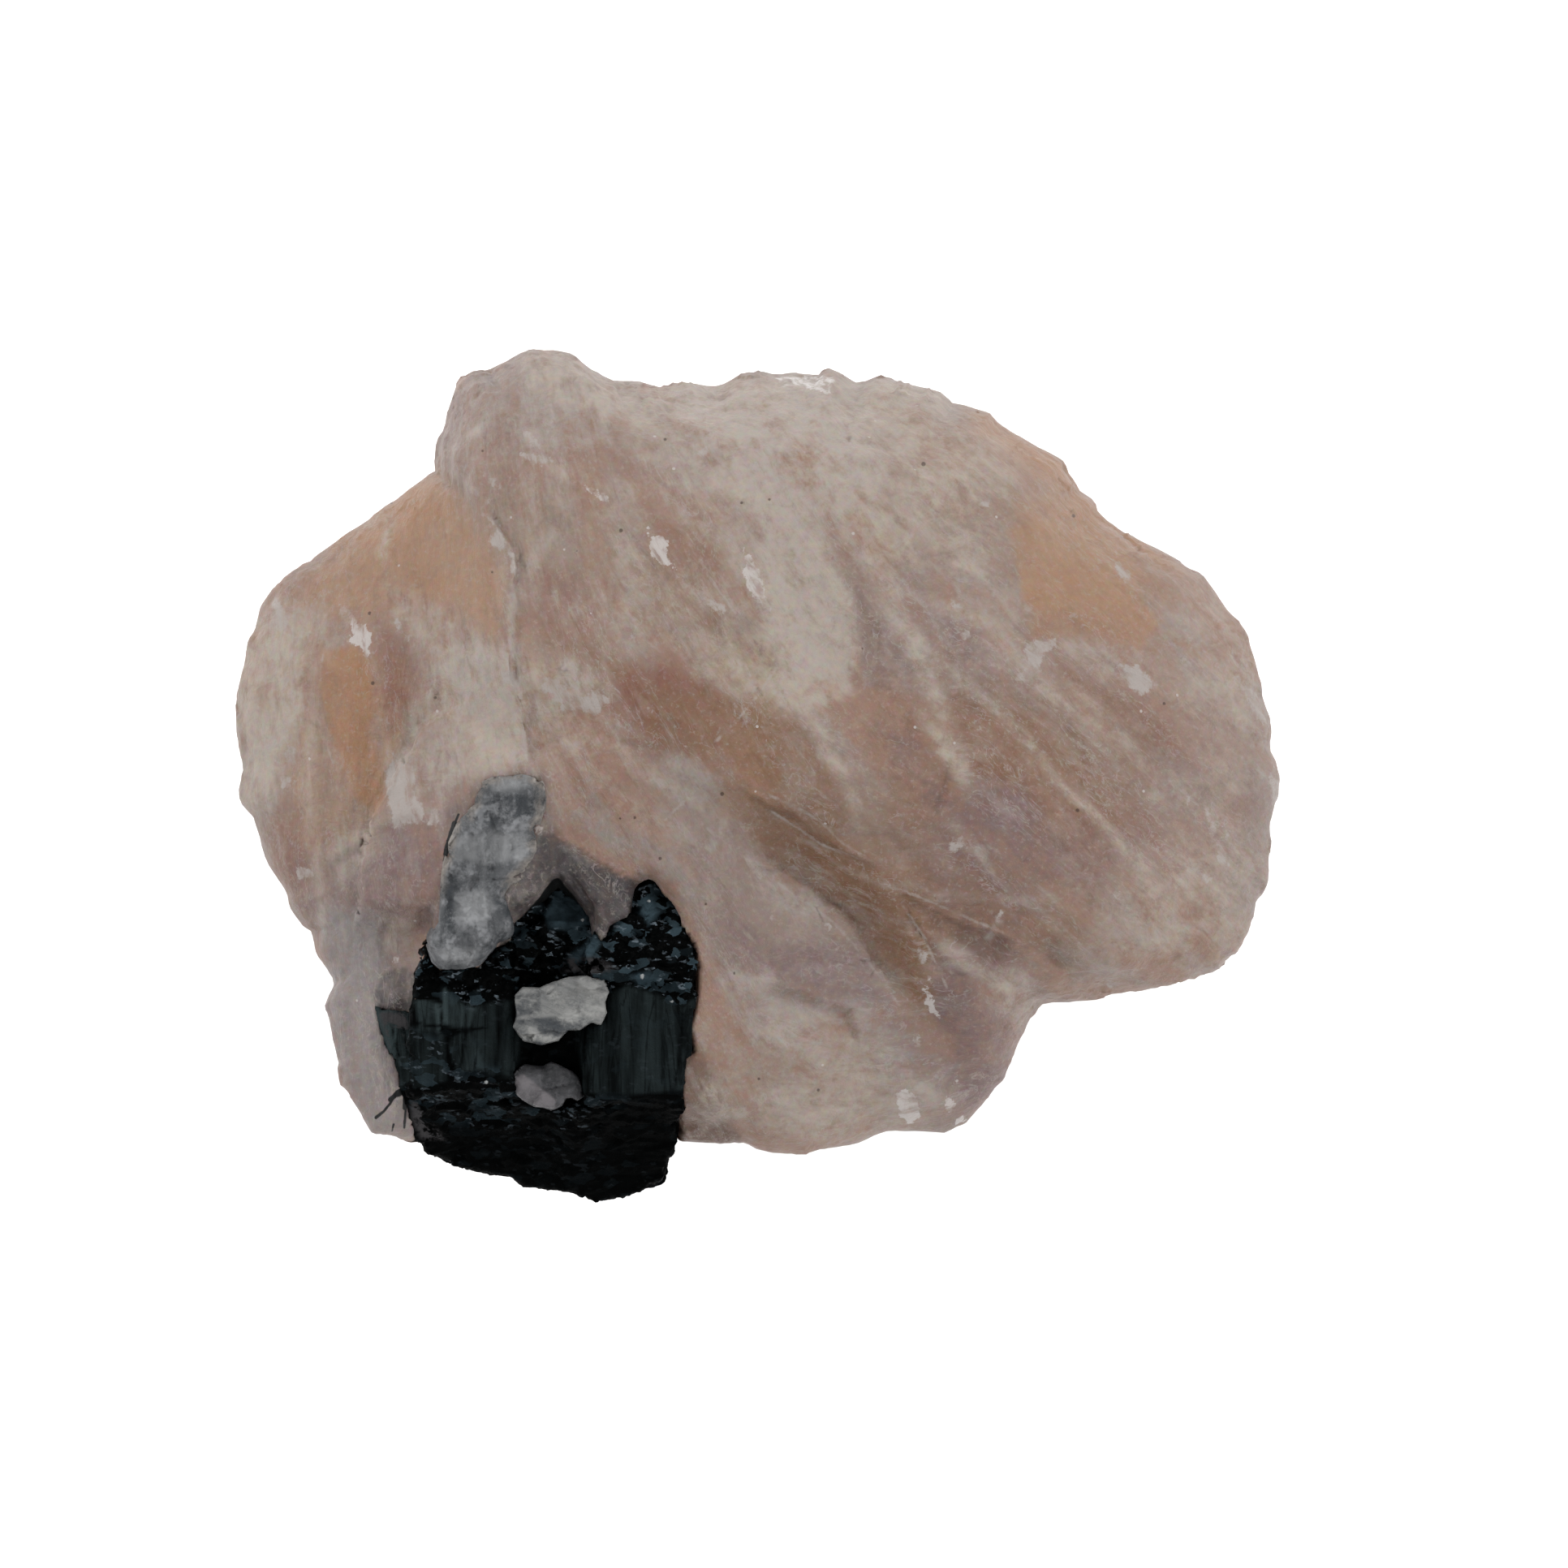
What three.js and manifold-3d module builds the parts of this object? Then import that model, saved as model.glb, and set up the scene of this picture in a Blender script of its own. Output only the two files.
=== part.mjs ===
// A hand-sized lump of rough rose quartz with a cluster of black tourmaline grown into its
// lower left corner. It lies on its back on one flat broken face, with its broad face up.
//
// Millimetres. +X runs along the length, +Y across the face towards its top edge, +Z up.
// The origin is under the middle of the lump, on the surface that it rests on.

import * as THREE from 'three';
import { ImprovedNoise } from 'three/addons/math/ImprovedNoise.js';
import { TessellateModifier } from 'three/addons/modifiers/TessellateModifier.js';
import { mergeVertices } from 'three/addons/utils/BufferGeometryUtils.js';
import Module from 'manifold-3d';

const wasm = await Module();
wasm.setup();

// ---- Driving dimensions ----------------------------------------------------------------

const THICKNESS = 46; // rest face to the highest point of the broad face
const FIT_GAP = 0.3; // clearance left between pieces that touch
const FACET_ROWS = 15; // how often each side of the ball that becomes the stone is split
const BOWL_FACET = 8.5; // length of a facet's edge in the bowls broken out of the stone
const CRYSTAL_FACET = 4.6; // the same on the tourmaline
const CHIP_FACET = 3.4; // and on the small bits of quartz
const GIRDLE_HEIGHT = 21; // middle height of the widest line around the stone
const BELOW_REST = -2.5; // the underside would reach down to here if it weren't broken flat
const LOWER_RIM = 14; // height of the underside's slopes where they reach the outline
const SNAP = 1.3; // corners of facets this near to a broken edge lie on it
const CLUSTER_FLOOR = { x: 0, y: -20, z: 32, riseX: 0, riseY: 0.5 }; // above this the cluster shows
const CAP_FLOOR = { x: 0, y: -9, z: 41.6, riseX: 0, riseY: 0.24 }; // and above this the grey cap
const SLIVER = 1e-3; // faces under this area, in square millimetres, give no direction
const FAR = 200; // reach of a cutting body past the stone

// The stone's outline from above, clockwise from the notch at its upper left.
const STONE_OUTLINE = [
  [-32.3, 31.0], [-32.4, 34.0], [-31.0, 36.4], [-29.6, 40.6], [-27.1, 40.6], [-25.3, 41.4],
  [-22.0, 42.7], [-18.6, 42.2], [-16.0, 40.2], [-11.5, 39.3], [-7.3, 39.3], [-3.8, 38.9],
  [-1.5, 40.4], [0.5, 40.8], [6.9, 40.8], [10.1, 39.4], [12.6, 40.2], [16.8, 38.8],
  [19.4, 37.2], [23.3, 35.8], [25.4, 34.2], [30.3, 31.7], [32.2, 28.8], [35.4, 25.5],
  [39.6, 22.6], [43.7, 20.9], [46.0, 18.2], [49.0, 14.4], [50.7, 8.6], [51.5, 3.6],
  [52.5, -0.8], [51.5, -6.5], [51.1, -11.2], [49.5, -16.0], [46.6, -19.6], [41.7, -21.5],
  [36.0, -22.3], [28.6, -23.2], [25.6, -28.2], [23.2, -32.2], [19.2, -36.0], [12.9, -36.0],
  [7.5, -37.6], [3.0, -38.0], [-1.0, -37.1], [-8.0, -36.6], [-20.0, -36.4], [-30.0, -36.2],
  [-36.2, -36.3], [-39.3, -35.4], [-42.1, -30.2], [-43.5, -23.4], [-42.4, -21.0], [-44.6, -16.4],
  [-47.1, -13.0], [-48.7, -9.8], [-50.6, -4.6], [-52.3, -1.8], [-51.8, 1.0], [-52.5, 5.0],
  [-52.2, 9.4], [-50.6, 14.8], [-49.2, 18.2], [-46.2, 20.7], [-41.9, 23.8], [-36.6, 27.3],
];

// Broken faces of the upper side: a point on each, and its rise per millimetre along X and Y.
const BROAD_FACE = { x: -5, y: 12, z: THICKNESS, riseX: -0.04, riseY: -0.03 };
const BROW_FACE = { x: 0, y: 34, z: 43.6, riseX: -0.02, riseY: -0.85 };
const RIGHT_FACE = { x: 22, y: 8, z: 42.6, riseX: -0.4, riseY: -0.03 };
const HEEL_FACE = { x: 16, y: -10, z: 41.6, riseX: -0.17, riseY: 0.3 };
const LEFT_FACE = { x: -24.5, y: 15, z: 43.2, riseX: 0.4, riseY: -0.02 };
const LOW_LEFT_FACE = { x: -38, y: -4.8, z: 37.6, riseX: 0.26, riseY: 0.17 };
const SLAB_FACE = { x: -3, y: -1, z: 44.2, riseX: -0.41, riseY: 0.22 };
const SKIRT_FACE = { x: 0, y: -20, z: 38.4, riseX: 0.0, riseY: 0.28 };
const FACE_BLEND = 1.6; // how far two of the softer faces round into each other

// Where the left lobe has broken away from the broad face, walking down from the top notch
// with the lobe on the right hand.
const LEFT_BREAK = [
  [-32.5, 31.8], [-29.5, 29.6], [-27.2, 27.6], [-24.6, 21.5], [-24.8, 17.6], [-25.6, 13.4],
  [-24.6, 9.6], [-23.5, 7.0], [-23.1, 1.0], [-21.3, -4.6], [-20.5, -12.0],
];
const LEFT_STEEPNESS = 0.9; // fall just past that line, per millimetre across it

// Upper edge of the steep step from the broad face down to the lower slab, walking down
// with the slab on the right hand.
const SLAB_BREAK = [
  [-6.0, 2.0], [-2.0, -1.4], [3.6, -4.2], [9.8, -9.6], [13.4, -12.0], [15.2, -16.4],
  [20.4, -22.6], [25.4, -29.0],
];
const SLAB_STEEPNESS = 1.5; // fall of the step per millimetre across it

// Small ledges on the upper side, each a line with its drop on the right hand, and how far
// past the line the sunk patch comes back to the level around it.
const LEDGES = [
  { line: [[3.0, -2.0], [7.0, -5.2], [12.0, -6.2], [17.0, -6.4]], drop: 1.3, run: 5 },
  { line: [[14.0, -11.4], [18.4, -13.4], [23.0, -15.0]], drop: 1.4, run: 6 },
  { line: [[27.4, -15.4], [31.6, -17.6], [36.2, -21.0]], drop: 1.6, run: 7 },
  { line: [[25.2, 10.4], [26.8, 8.6], [28.8, 6.2], [29.2, 3.0]], drop: 0.9, run: 7 },
];

// Slopes of the underside: the angle round the stone that each faces, in degrees, and how far
// from the middle it leaves the rest face.
const LOWER_SLOPES = [
  { angle: 8, start: 31 },
  { angle: 62, start: 17 },
  { angle: 112, start: 23 },
  { angle: 163, start: 33 },
  { angle: 214, start: 27 },
  { angle: 262, start: 15 },
  { angle: 318, start: 21 },
];

// Shell-shaped bowls broken out of the stone. Each is a ball set against the skin, seen from
// the middle of the stone at an angle round it and a tilt up from the level, in degrees.
const STONE_MIDDLE = { x: 0, y: 0, z: 20 };
const BOWL_MARGIN = 0.8; // what a bowl leaves of the stone inside its widest line
const BOWLS = [
  { angle: 27, tilt: -25, radius: 40, bite: 3.4 },
  { angle: 84, tilt: -38, radius: 34, bite: 3.0 },
  { angle: 138, tilt: -24, radius: 28, bite: 3.0 },
  { angle: 196, tilt: -34, radius: 40, bite: 3.2 },
  { angle: 240, tilt: -40, radius: 34, bite: 2.6 },
  { angle: 300, tilt: -36, radius: 32, bite: 3.0 },
  { angle: 345, tilt: -32, radius: 44, bite: 3.2 },
];

// Uneven surface: wavelength and height of each layer of waviness, in millimetres.
const STONE_WAVES = [{ length: 21, height: 1.5 }, { length: 8, height: 0.8 }];
const BOWL_WAVES = [{ length: 14, height: 0.7 }];
const CRYSTAL_WAVES = [{ length: 7, height: 0.3 }, { length: 3.1, height: 0.3 }];
const CHIP_WAVES = [{ length: 4.4, height: 0.55 }];

// Outline of the tourmaline cluster from above, clockwise from the tip of its left crystal.
const CLUSTER_OUTLINE = [
  [-28.2, -5.0], [-26.4, -6.4], [-24.4, -10.4], [-23.0, -11.4], [-20.0, -9.4], [-17.6, -12.2],
  [-15.4, -16.6], [-13.8, -14.0], [-12.6, -11.4], [-11.0, -9.8], [-8.6, -12.4], [-7.4, -15.2],
  [-5.9, -18.4], [-5.8, -22.0], [-6.3, -26.0], [-6.1, -28.2], [-7.3, -28.6], [-7.5, -37.7],
  [-9.3, -38.1], [-9.9, -40.7], [-12.6, -41.8], [-16.5, -42.9], [-18.2, -41.6], [-23.4, -41.4],
  [-24.6, -40.2], [-27.4, -39.6], [-30.6, -38.9], [-33.0, -37.6], [-35.4, -35.0], [-36.4, -31.6],
  [-37.2, -27.0], [-38.3, -23.2], [-34.6, -22.6], [-34.2, -20.6], [-33.2, -16.6], [-30.4, -10.4],
  [-29.6, -7.4],
];

// Each crystal is a prism along Y on a three-cornered section with blunt corners, one flat
// side up: centre in X and Z, half width, half depth, and the Y of its shoulder, tip and foot.
// Its section is turned by some degrees, and each side of a corner its edges lie apart by its
// bluntness in degrees.
const CRYSTALS = [
  { x: -29.4, z: 36.2, wide: 6.6, deep: 6.6, shoulder: -15, tip: -2.5, foot: -46, turn: 4, blunt: 9 },
  { x: -20.4, z: 34.6, wide: 6.6, deep: 6.4, shoulder: -18, tip: -8.4, foot: -46, turn: 0, blunt: 9 },
  { x: -12.2, z: 36.6, wide: 6.9, deep: 6.8, shoulder: -18, tip: -8.6, foot: -46, turn: -3, blunt: 9 },
  { x: -35.2, z: 34.0, wide: 3.6, deep: 3.4, shoulder: -24, tip: -19, foot: -40, turn: 16, blunt: 9 },
  { x: -26.9, z: 27.2, wide: 12.6, deep: 9.8, shoulder: -20, tip: -11, foot: -46, turn: 2, blunt: 29 },
  { x: -15.3, z: 26.8, wide: 12.2, deep: 9.8, shoulder: -22, tip: -14, foot: -46, turn: -3, blunt: 29 },
];

const CLUSTER_LEAN = 12; // degrees that the crystals' lower ends are sunk, turning about:
const CLUSTER_HINGE = { y: -10, z: 39 };

// Shell-shaped breaks in the cluster: its snapped lower end, then its shattered shoulder.
const CLUSTER_BREAKS = [
  { x: -28, y: -54, z: 42, radius: 24 },
  { x: -12, y: -56, z: 42.5, radius: 24.5 },
  { x: -22, y: -62, z: 4, radius: 27 },
  { x: -21.2, y: -27.4, z: 43.6, radius: 8.2 },
  { x: -28.0, y: -18.2, z: 50.0, radius: 12.0 },
  { x: -11.0, y: -16.4, z: 52.8, radius: 14.0 },
];

// Bits of quartz on the cluster: corners from above, bottom and top height, and how far the
// upper edge draws in.
const GREY_CAP = {
  corners: [
    [-28.2, -0.6], [-26.2, 0.4], [-23.6, 0.4], [-21.6, -0.4], [-21.1, -2.4], [-21.8, -5.4], [-21.6, -7.6],
    [-22.4, -9.8], [-24.6, -10.6], [-26.0, -12.4], [-25.0, -15.8], [-26.9, -16.6], [-27.5, -19.0],
    [-30.2, -19.5], [-32.1, -19.2], [-33.0, -17.2], [-32.8, -14.4], [-31.6, -10.6], [-30.9, -7.0],
    [-29.6, -3.6],
  ],
  bottom: 34.6,
  top: 43.2,
  drawIn: 0.14,
  tilt: 0.24,
};
const WHITE_CHIP = {
  corners: [
    [-24.2, -21.9], [-22.2, -21.2], [-20.6, -21.2], [-18.4, -20.4], [-15.4, -20.6], [-14.9, -22.0],
    [-15.2, -24.3], [-16.2, -25.1], [-18.0, -24.6], [-19.2, -25.6], [-20.4, -26.9], [-22.8, -26.8],
    [-24.2, -25.4],
  ],
  bottom: 33.4,
  top: 38.6,
  drawIn: 0.1,
  tilt: 0.1,
};
const GREY_CHIP = {
  corners: [
    [-24.8, -30.0], [-23.5, -29.5], [-21.2, -29.7], [-20.3, -28.9], [-18.7, -29.8], [-17.6, -31.0],
    [-17.6, -32.4], [-20.0, -33.4], [-22.2, -33.0], [-23.8, -31.8],
  ],
  bottom: 30.4,
  top: 35.8,
  drawIn: 0.2,
  tilt: 0.18,
};

// ---- Helpers ---------------------------------------------------------------------------

const unevenness = new ImprovedNoise();

// Moves a point by layers of smooth noise, the same way wherever the point belongs to.
function shiftByWaves(point, waves) {
  const start = point.clone();
  for (const { length, height } of waves) {
    const [x, y, z] = start.clone().divideScalar(length).toArray();
    point.x += height * unevenness.noise(x + 3.1, y + 7.7, z + 1.3);
    point.y += height * unevenness.noise(x + 11.9, y + 2.3, z + 5.1);
    point.z += height * unevenness.noise(x + 6.4, y + 9.2, z + 8.8);
  }
}

// Runs a function on every vertex of a geometry.
function moveVertices(geometry, move) {
  const places = geometry.getAttribute('position');
  const point = new THREE.Vector3();
  for (let i = 0; i < places.count; i++) {
    point.fromBufferAttribute(places, i);
    move(point);
    places.setXYZ(i, point.x, point.y, point.z);
  }
  return geometry;
}

function roughen(geometry, waves) {
  return moveVertices(geometry, (point) => shiftByWaves(point, waves));
}

// A geometry whose vertices at one place are one vertex.
function joinVertices(geometry) {
  geometry.deleteAttribute('normal');
  geometry.deleteAttribute('uv');
  return mergeVertices(geometry, 1e-4);
}

function solidOf(geometry) {
  const joined = joinVertices(geometry);
  return new wasm.Manifold(
    new wasm.Mesh({
      numProp: 3,
      vertProperties: new Float32Array(joined.getAttribute('position').array),
      triVerts: new Uint32Array(joined.index.array),
    }),
  );
}

function geometryOf(solid) {
  const { vertProperties, triVerts } = solid.getMesh();
  const geometry = new THREE.BufferGeometry();
  geometry.setAttribute('position', new THREE.BufferAttribute(vertProperties, 3));
  geometry.setIndex(new THREE.BufferAttribute(triVerts, 1));
  geometry.computeVertexNormals();
  return geometry;
}

// Splits every edge longer than a facet.
function splitIntoFacets(geometry, facet) {
  return new TessellateModifier(facet, 12).modify(geometry);
}

// The same solid with every face moved outwards by a gap. Each corner goes out until it is
// that far from all the faces around it.
function grown(geometry, gap) {
  const swollen = geometry.clone();
  const places = swollen.getAttribute('position');
  const facesAt = Array.from({ length: places.count }, () => []);
  const face = new THREE.Triangle();
  for (let i = 0; i < swollen.index.count; i += 3) {
    const corners = [0, 1, 2].map((k) => swollen.index.getX(i + k));
    face.setFromAttributeAndIndices(places, ...corners);
    if (face.getArea() < SLIVER) continue;
    const normal = face.getNormal(new THREE.Vector3());
    corners.forEach((corner) => facesAt[corner].push(normal));
  }
  facesAt.forEach((normals, i) => {
    const shift = new THREE.Vector3();
    for (let pass = 0; pass < 10; pass++) {
      normals.forEach((normal) => shift.addScaledVector(normal, Math.max(0, gap - normal.dot(shift))));
    }
    shift.clampLength(0, 3 * gap);
    places.setXYZ(i, places.getX(i) + shift.x, places.getY(i) + shift.y, places.getZ(i) + shift.z);
  });
  return solidOf(swollen);
}

function ballSolid({ x, y, z, radius }, facet, waves) {
  const detail = Math.max(2, Math.round((1.05 * radius) / facet) - 1);
  const geometry = new THREE.IcosahedronGeometry(radius, detail).translate(x, y, z);
  return solidOf(roughen(geometry, waves));
}

// An upright prism over an outline.
function prismOver(corners, bottom, top) {
  const shape = new THREE.Shape(corners.map(([x, y]) => new THREE.Vector2(x, y)));
  const geometry = new THREE.ExtrudeGeometry(shape, { depth: top - bottom, bevelEnabled: false });
  return geometry.translate(0, 0, bottom);
}

function heightOn(face, x, y) {
  return face.z + face.riseX * (x - face.x) + face.riseY * (y - face.y);
}

// The lower of two heights, rounded where they cross.
function blendedLower(a, b) {
  const overlap = Math.max(0, FACE_BLEND - Math.abs(a - b)) / FACE_BLEND;
  return Math.min(a, b) - (overlap * overlap * FACE_BLEND) / 4;
}

function lowestOf(faces, x, y) {
  return faces.map((face) => heightOn(face, x, y)).reduce(blendedLower);
}

// Nearest point of a line of corners, and how far to its right hand side a point lies.
function besideLine(line, x, y) {
  const point = new THREE.Vector2(x, y);
  let nearest = { distance: Infinity };
  for (let i = 1; i < line.length; i++) {
    const start = new THREE.Vector2(...line[i - 1]);
    const run = new THREE.Vector2(...line[i]).sub(start);
    const along = THREE.MathUtils.clamp(point.clone().sub(start).dot(run) / run.lengthSq(), 0, 1);
    const foot = start.clone().addScaledVector(run, along);
    const distance = foot.distanceTo(point);
    if (distance < nearest.distance) {
      const hand = Math.sign(point.clone().sub(start).cross(run)) || 1;
      const atEnd = (i === 1 && along === 0) || (i === line.length - 1 && along === 1);
      nearest = { distance, foot, right: hand * distance, beyondEnds: atEnd };
    }
  }
  return nearest;
}

// ---- The quartz ------------------------------------------------------------------------

// How far the outline lies from the middle in the direction of an angle.
function reachOfOutline(angle) {
  const way = new THREE.Vector2(Math.cos(angle), Math.sin(angle));
  let reach = 0;
  STONE_OUTLINE.forEach(([x, y], i) => {
    const start = new THREE.Vector2(x, y);
    const edge = new THREE.Vector2(...STONE_OUTLINE[(i + 1) % STONE_OUTLINE.length]).sub(start);
    const turn = way.cross(edge);
    const along = start.cross(way) / turn;
    const distance = start.cross(edge) / turn;
    if (along > -1e-6 && along < 1 + 1e-6 && distance > reach) reach = distance;
  });
  return reach;
}

// Height of the widest line around the stone, which wanders and is highest at the lower left.
function girdleHeight(angle) {
  const tilted = 4.5 * Math.sin(angle - 2.5);
  return GIRDLE_HEIGHT + tilted + 2.1 * Math.sin(3 * angle + 1.9) + 1.1 * Math.sin(7 * angle);
}

// Drop of the small ledges at a place.
function ledgeDrop(x, y) {
  return LEDGES.reduce((sum, { line, drop, run }) => {
    const { right, beyondEnds } = besideLine(line, x, y);
    const within = right > 0 && right < run && !beyondEnds;
    return within ? sum + drop * (1 - right / run) : sum;
  }, 0);
}

// Height of the upper side, before it falls away to the girdle.
function upperHeight(x, y) {
  const broad = lowestOf([BROAD_FACE, BROW_FACE, RIGHT_FACE, HEEL_FACE], x, y);
  const left = besideLine(LEFT_BREAK, x, y).right;
  if (left > 0) {
    const lobe = lowestOf([LEFT_FACE, LOW_LEFT_FACE], x, y);
    return Math.min(broad, Math.max(lobe, broad - LEFT_STEEPNESS * left));
  }
  const below = besideLine(SLAB_BREAK, x, y).right;
  if (below > 0) {
    const slab = lowestOf([SLAB_FACE, SKIRT_FACE], x, y);
    return Math.min(broad, Math.max(slab, broad - SLAB_STEEPNESS * below));
  }
  return broad - ledgeDrop(x, y);
}

// Height of the underside, before it rises to the girdle.
function lowerHeight(x, y) {
  const slopes = LOWER_SLOPES.map(({ angle, start }) => {
    const turn = THREE.MathUtils.degToRad(angle);
    const out = x * Math.cos(turn) + y * Math.sin(turn) - start;
    return (LOWER_RIM * out) / (reachOfOutline(turn) - start);
  });
  return Math.max(BELOW_REST, ...slopes);
}

// Height of the skin over or under a place, which lies at some share of the outline's reach.
function skinHeight(x, y, outward, upper) {
  const girdle = girdleHeight(Math.atan2(y, x));
  const far = upper ? upperHeight(x, y) : Math.min(girdle, lowerHeight(x, y));
  return girdle + (far - girdle) * Math.sqrt(1 - Math.min(1, outward) ** (upper ? 6 : 9));
}

// Slides a point that is close to a broken edge onto it, so that the edge is crisp.
function pullOntoEdges(point) {
  for (const line of [LEFT_BREAK, SLAB_BREAK, ...LEDGES.map((ledge) => ledge.line)]) {
    const { distance, foot, beyondEnds } = besideLine(line, point.x, point.y);
    if (distance < SNAP && !beyondEnds) point.set(foot.x, foot.y, point.z);
  }
}

// The whole lump before bowls break out of it: a ball of even facets pressed to the skin.
// Its waves die out sideways at the girdle, which keeps to the outline.
function roughLump() {
  const tip = new THREE.Vector3(0, 1, (1 + Math.sqrt(5)) / 2).normalize();
  const upright = new THREE.Quaternion().setFromUnitVectors(tip, new THREE.Vector3(0, 0, 1));
  const geometry = new THREE.IcosahedronGeometry(1, FACET_ROWS).applyQuaternion(upright);
  moveVertices(geometry, (point) => {
    const outward = Math.min(1, Math.hypot(point.x, point.y));
    const angle = Math.atan2(point.y, point.x);
    const reach = reachOfOutline(angle) * outward;
    const skin = new THREE.Vector3(reach * Math.cos(angle), reach * Math.sin(angle), 0);
    if (point.z > 0 && outward < 0.96) pullOntoEdges(skin);
    skin.z = skinHeight(skin.x, skin.y, outward, point.z > 0);
    const swell = skin.clone();
    shiftByWaves(swell, STONE_WAVES);
    point.lerpVectors(skin, swell, 1 - outward ** 8);
    point.z = swell.z;
  });
  return solidOf(geometry);
}

// Where a line from the middle of the stone leaves it.
function skinAlong(way) {
  const point = new THREE.Vector3().copy(STONE_MIDDLE);
  for (let inside = true; inside; ) {
    point.addScaledVector(way, 0.25);
    const outward = Math.hypot(point.x, point.y) / reachOfOutline(Math.atan2(point.y, point.x));
    const lower = skinHeight(point.x, point.y, outward, false);
    const upper = skinHeight(point.x, point.y, outward, true);
    inside = outward < 1 && point.z > lower && point.z < upper;
  }
  return point;
}

// Points along the widest line around the stone.
function girdlePoints() {
  return Array.from({ length: 120 }, (_, i) => {
    const angle = (i / 120) * 2 * Math.PI;
    const reach = reachOfOutline(angle);
    return new THREE.Vector3(reach * Math.cos(angle), reach * Math.sin(angle), girdleHeight(angle));
  });
}

// A ball whose skin bites into the stone's, as far as that leaves the widest line whole.
function bowl({ angle, tilt, radius, bite }) {
  const level = Math.cos(THREE.MathUtils.degToRad(tilt));
  const turn = THREE.MathUtils.degToRad(angle);
  const way = new THREE.Vector3(level * Math.cos(turn), level * Math.sin(turn), 0);
  way.z = Math.sin(THREE.MathUtils.degToRad(tilt));
  const centre = skinAlong(way).addScaledVector(way, radius - bite);
  const girdle = girdlePoints();
  while (girdle.some((point) => point.distanceTo(centre) < radius + BOWL_MARGIN)) {
    centre.addScaledVector(way, 0.25);
  }
  return ballSolid({ x: centre.x, y: centre.y, z: centre.z, radius }, BOWL_FACET, BOWL_WAVES);
}

// The half space above the rest face.
function aboveRestFace() {
  return solidOf(new THREE.BoxGeometry(FAR, FAR, FAR).translate(0, 0, FAR / 2));
}

function quartzMass() {
  const broken = BOWLS.map(bowl).reduce((stone, cut) => stone.subtract(cut), roughLump());
  return broken.intersect(aboveRestFace());
}

// ---- The tourmaline --------------------------------------------------------------------

// Turns the six corners of a unit prism into three blunt ones.
function bluntTriangle(geometry, turn, blunt) {
  const third = (2 * Math.PI) / 3;
  return moveVertices(geometry, (point) => {
    const out = Math.hypot(point.x, point.z);
    const sixth = Math.round(Math.atan2(point.z, point.x) / (third / 2));
    const corner = Math.floor(sixth / 2) * third + third / 4;
    const side = sixth - 2 * Math.floor(sixth / 2) === 0 ? -1 : 1;
    const angle = corner + THREE.MathUtils.degToRad(side * blunt + turn);
    point.x = out * Math.cos(angle);
    point.z = out * Math.sin(angle);
  });
}

// One crystal: a prism along Y whose upper end draws in to a blunt tip.
function crystal({ x, z, wide, deep, shoulder, tip, foot, turn, blunt }) {
  const rows = (length) => Math.round(length / CRYSTAL_FACET);
  const prism = new THREE.CylinderGeometry(1, 1, shoulder - foot, 6, rows(shoulder - foot));
  const point = new THREE.CylinderGeometry(0.14, 1, tip - shoulder, 6, rows(tip - shoulder));
  prism.translate(0, (shoulder + foot) / 2, 0);
  point.translate(0, (tip + shoulder) / 2, 0);
  const halves = [prism, point].map((half) => {
    bluntTriangle(half, turn, blunt).scale(wide, 1, deep);
    half.translate(x, -CLUSTER_HINGE.y, z - CLUSTER_HINGE.z);
    half.rotateX(THREE.MathUtils.degToRad(CLUSTER_LEAN));
    half.translate(0, CLUSTER_HINGE.y, CLUSTER_HINGE.z);
    return solidOf(roughen(half, CRYSTAL_WAVES));
  });
  return halves[0].add(halves[1]);
}

// The space over the cluster's broken outline.
function overCluster() {
  return prismOver(CLUSTER_OUTLINE, 0, 2 * THICKNESS);
}

// What the stone leaves open over an outline, down to a sloping floor, so that the piece in
// it is in view.
function windowOver(corners, floor) {
  const space = prismOver(corners, 0, 2 * THICKNESS);
  moveVertices(space, (point) => {
    if (point.z < THICKNESS) point.z = heightOn(floor, point.x, point.y);
  });
  return grown(joinVertices(space), FIT_GAP);
}

// The cluster: its crystals grown together, trimmed to the broken outline, with its snapped
// end and shattered shoulder broken out.
function tourmalineCluster() {
  const joined = CRYSTALS.map(crystal).reduce((whole, one) => whole.add(one));
  return CLUSTER_BREAKS.reduce(
    (whole, scar) => whole.subtract(ballSolid(scar, CRYSTAL_FACET, CRYSTAL_WAVES)),
    joined.intersect(solidOf(overCluster())),
  );
}

// ---- The bits of quartz on the tourmaline ------------------------------------------------

// A low lump over an outline, drawn in towards its tilted top.
function chip({ corners, bottom, top, drawIn, tilt }) {
  const centre = corners
    .reduce((sum, [x, y]) => sum.add(new THREE.Vector2(x, y)), new THREE.Vector2())
    .divideScalar(corners.length);
  const geometry = splitIntoFacets(prismOver(corners, bottom, top), CHIP_FACET);
  moveVertices(geometry, (point) => {
    const up = (point.z - bottom) / (top - bottom);
    const scale = 1 - drawIn * up ** 2;
    point.x = centre.x + (point.x - centre.x) * scale;
    point.y = centre.y + (point.y - centre.y) * scale;
    point.z += up * tilt * (point.y - centre.y);
  });
  return joinVertices(roughen(geometry, CHIP_WAVES));
}

// ---- Putting it together ----------------------------------------------------------------

function stoneMaterial(color, roughness) {
  return new THREE.MeshStandardMaterial({ color, roughness, metalness: 0, flatShading: true });
}

const roseQuartz = () => stoneMaterial(0xb89a8d, 0.45);
const blackTourmaline = () => stoneMaterial(0x15191b, 0.3);
const greyQuartz = () => stoneMaterial(0x8f9596, 0.45);
const whiteQuartz = () => stoneMaterial(0xb9b7b4, 0.5);

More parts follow.
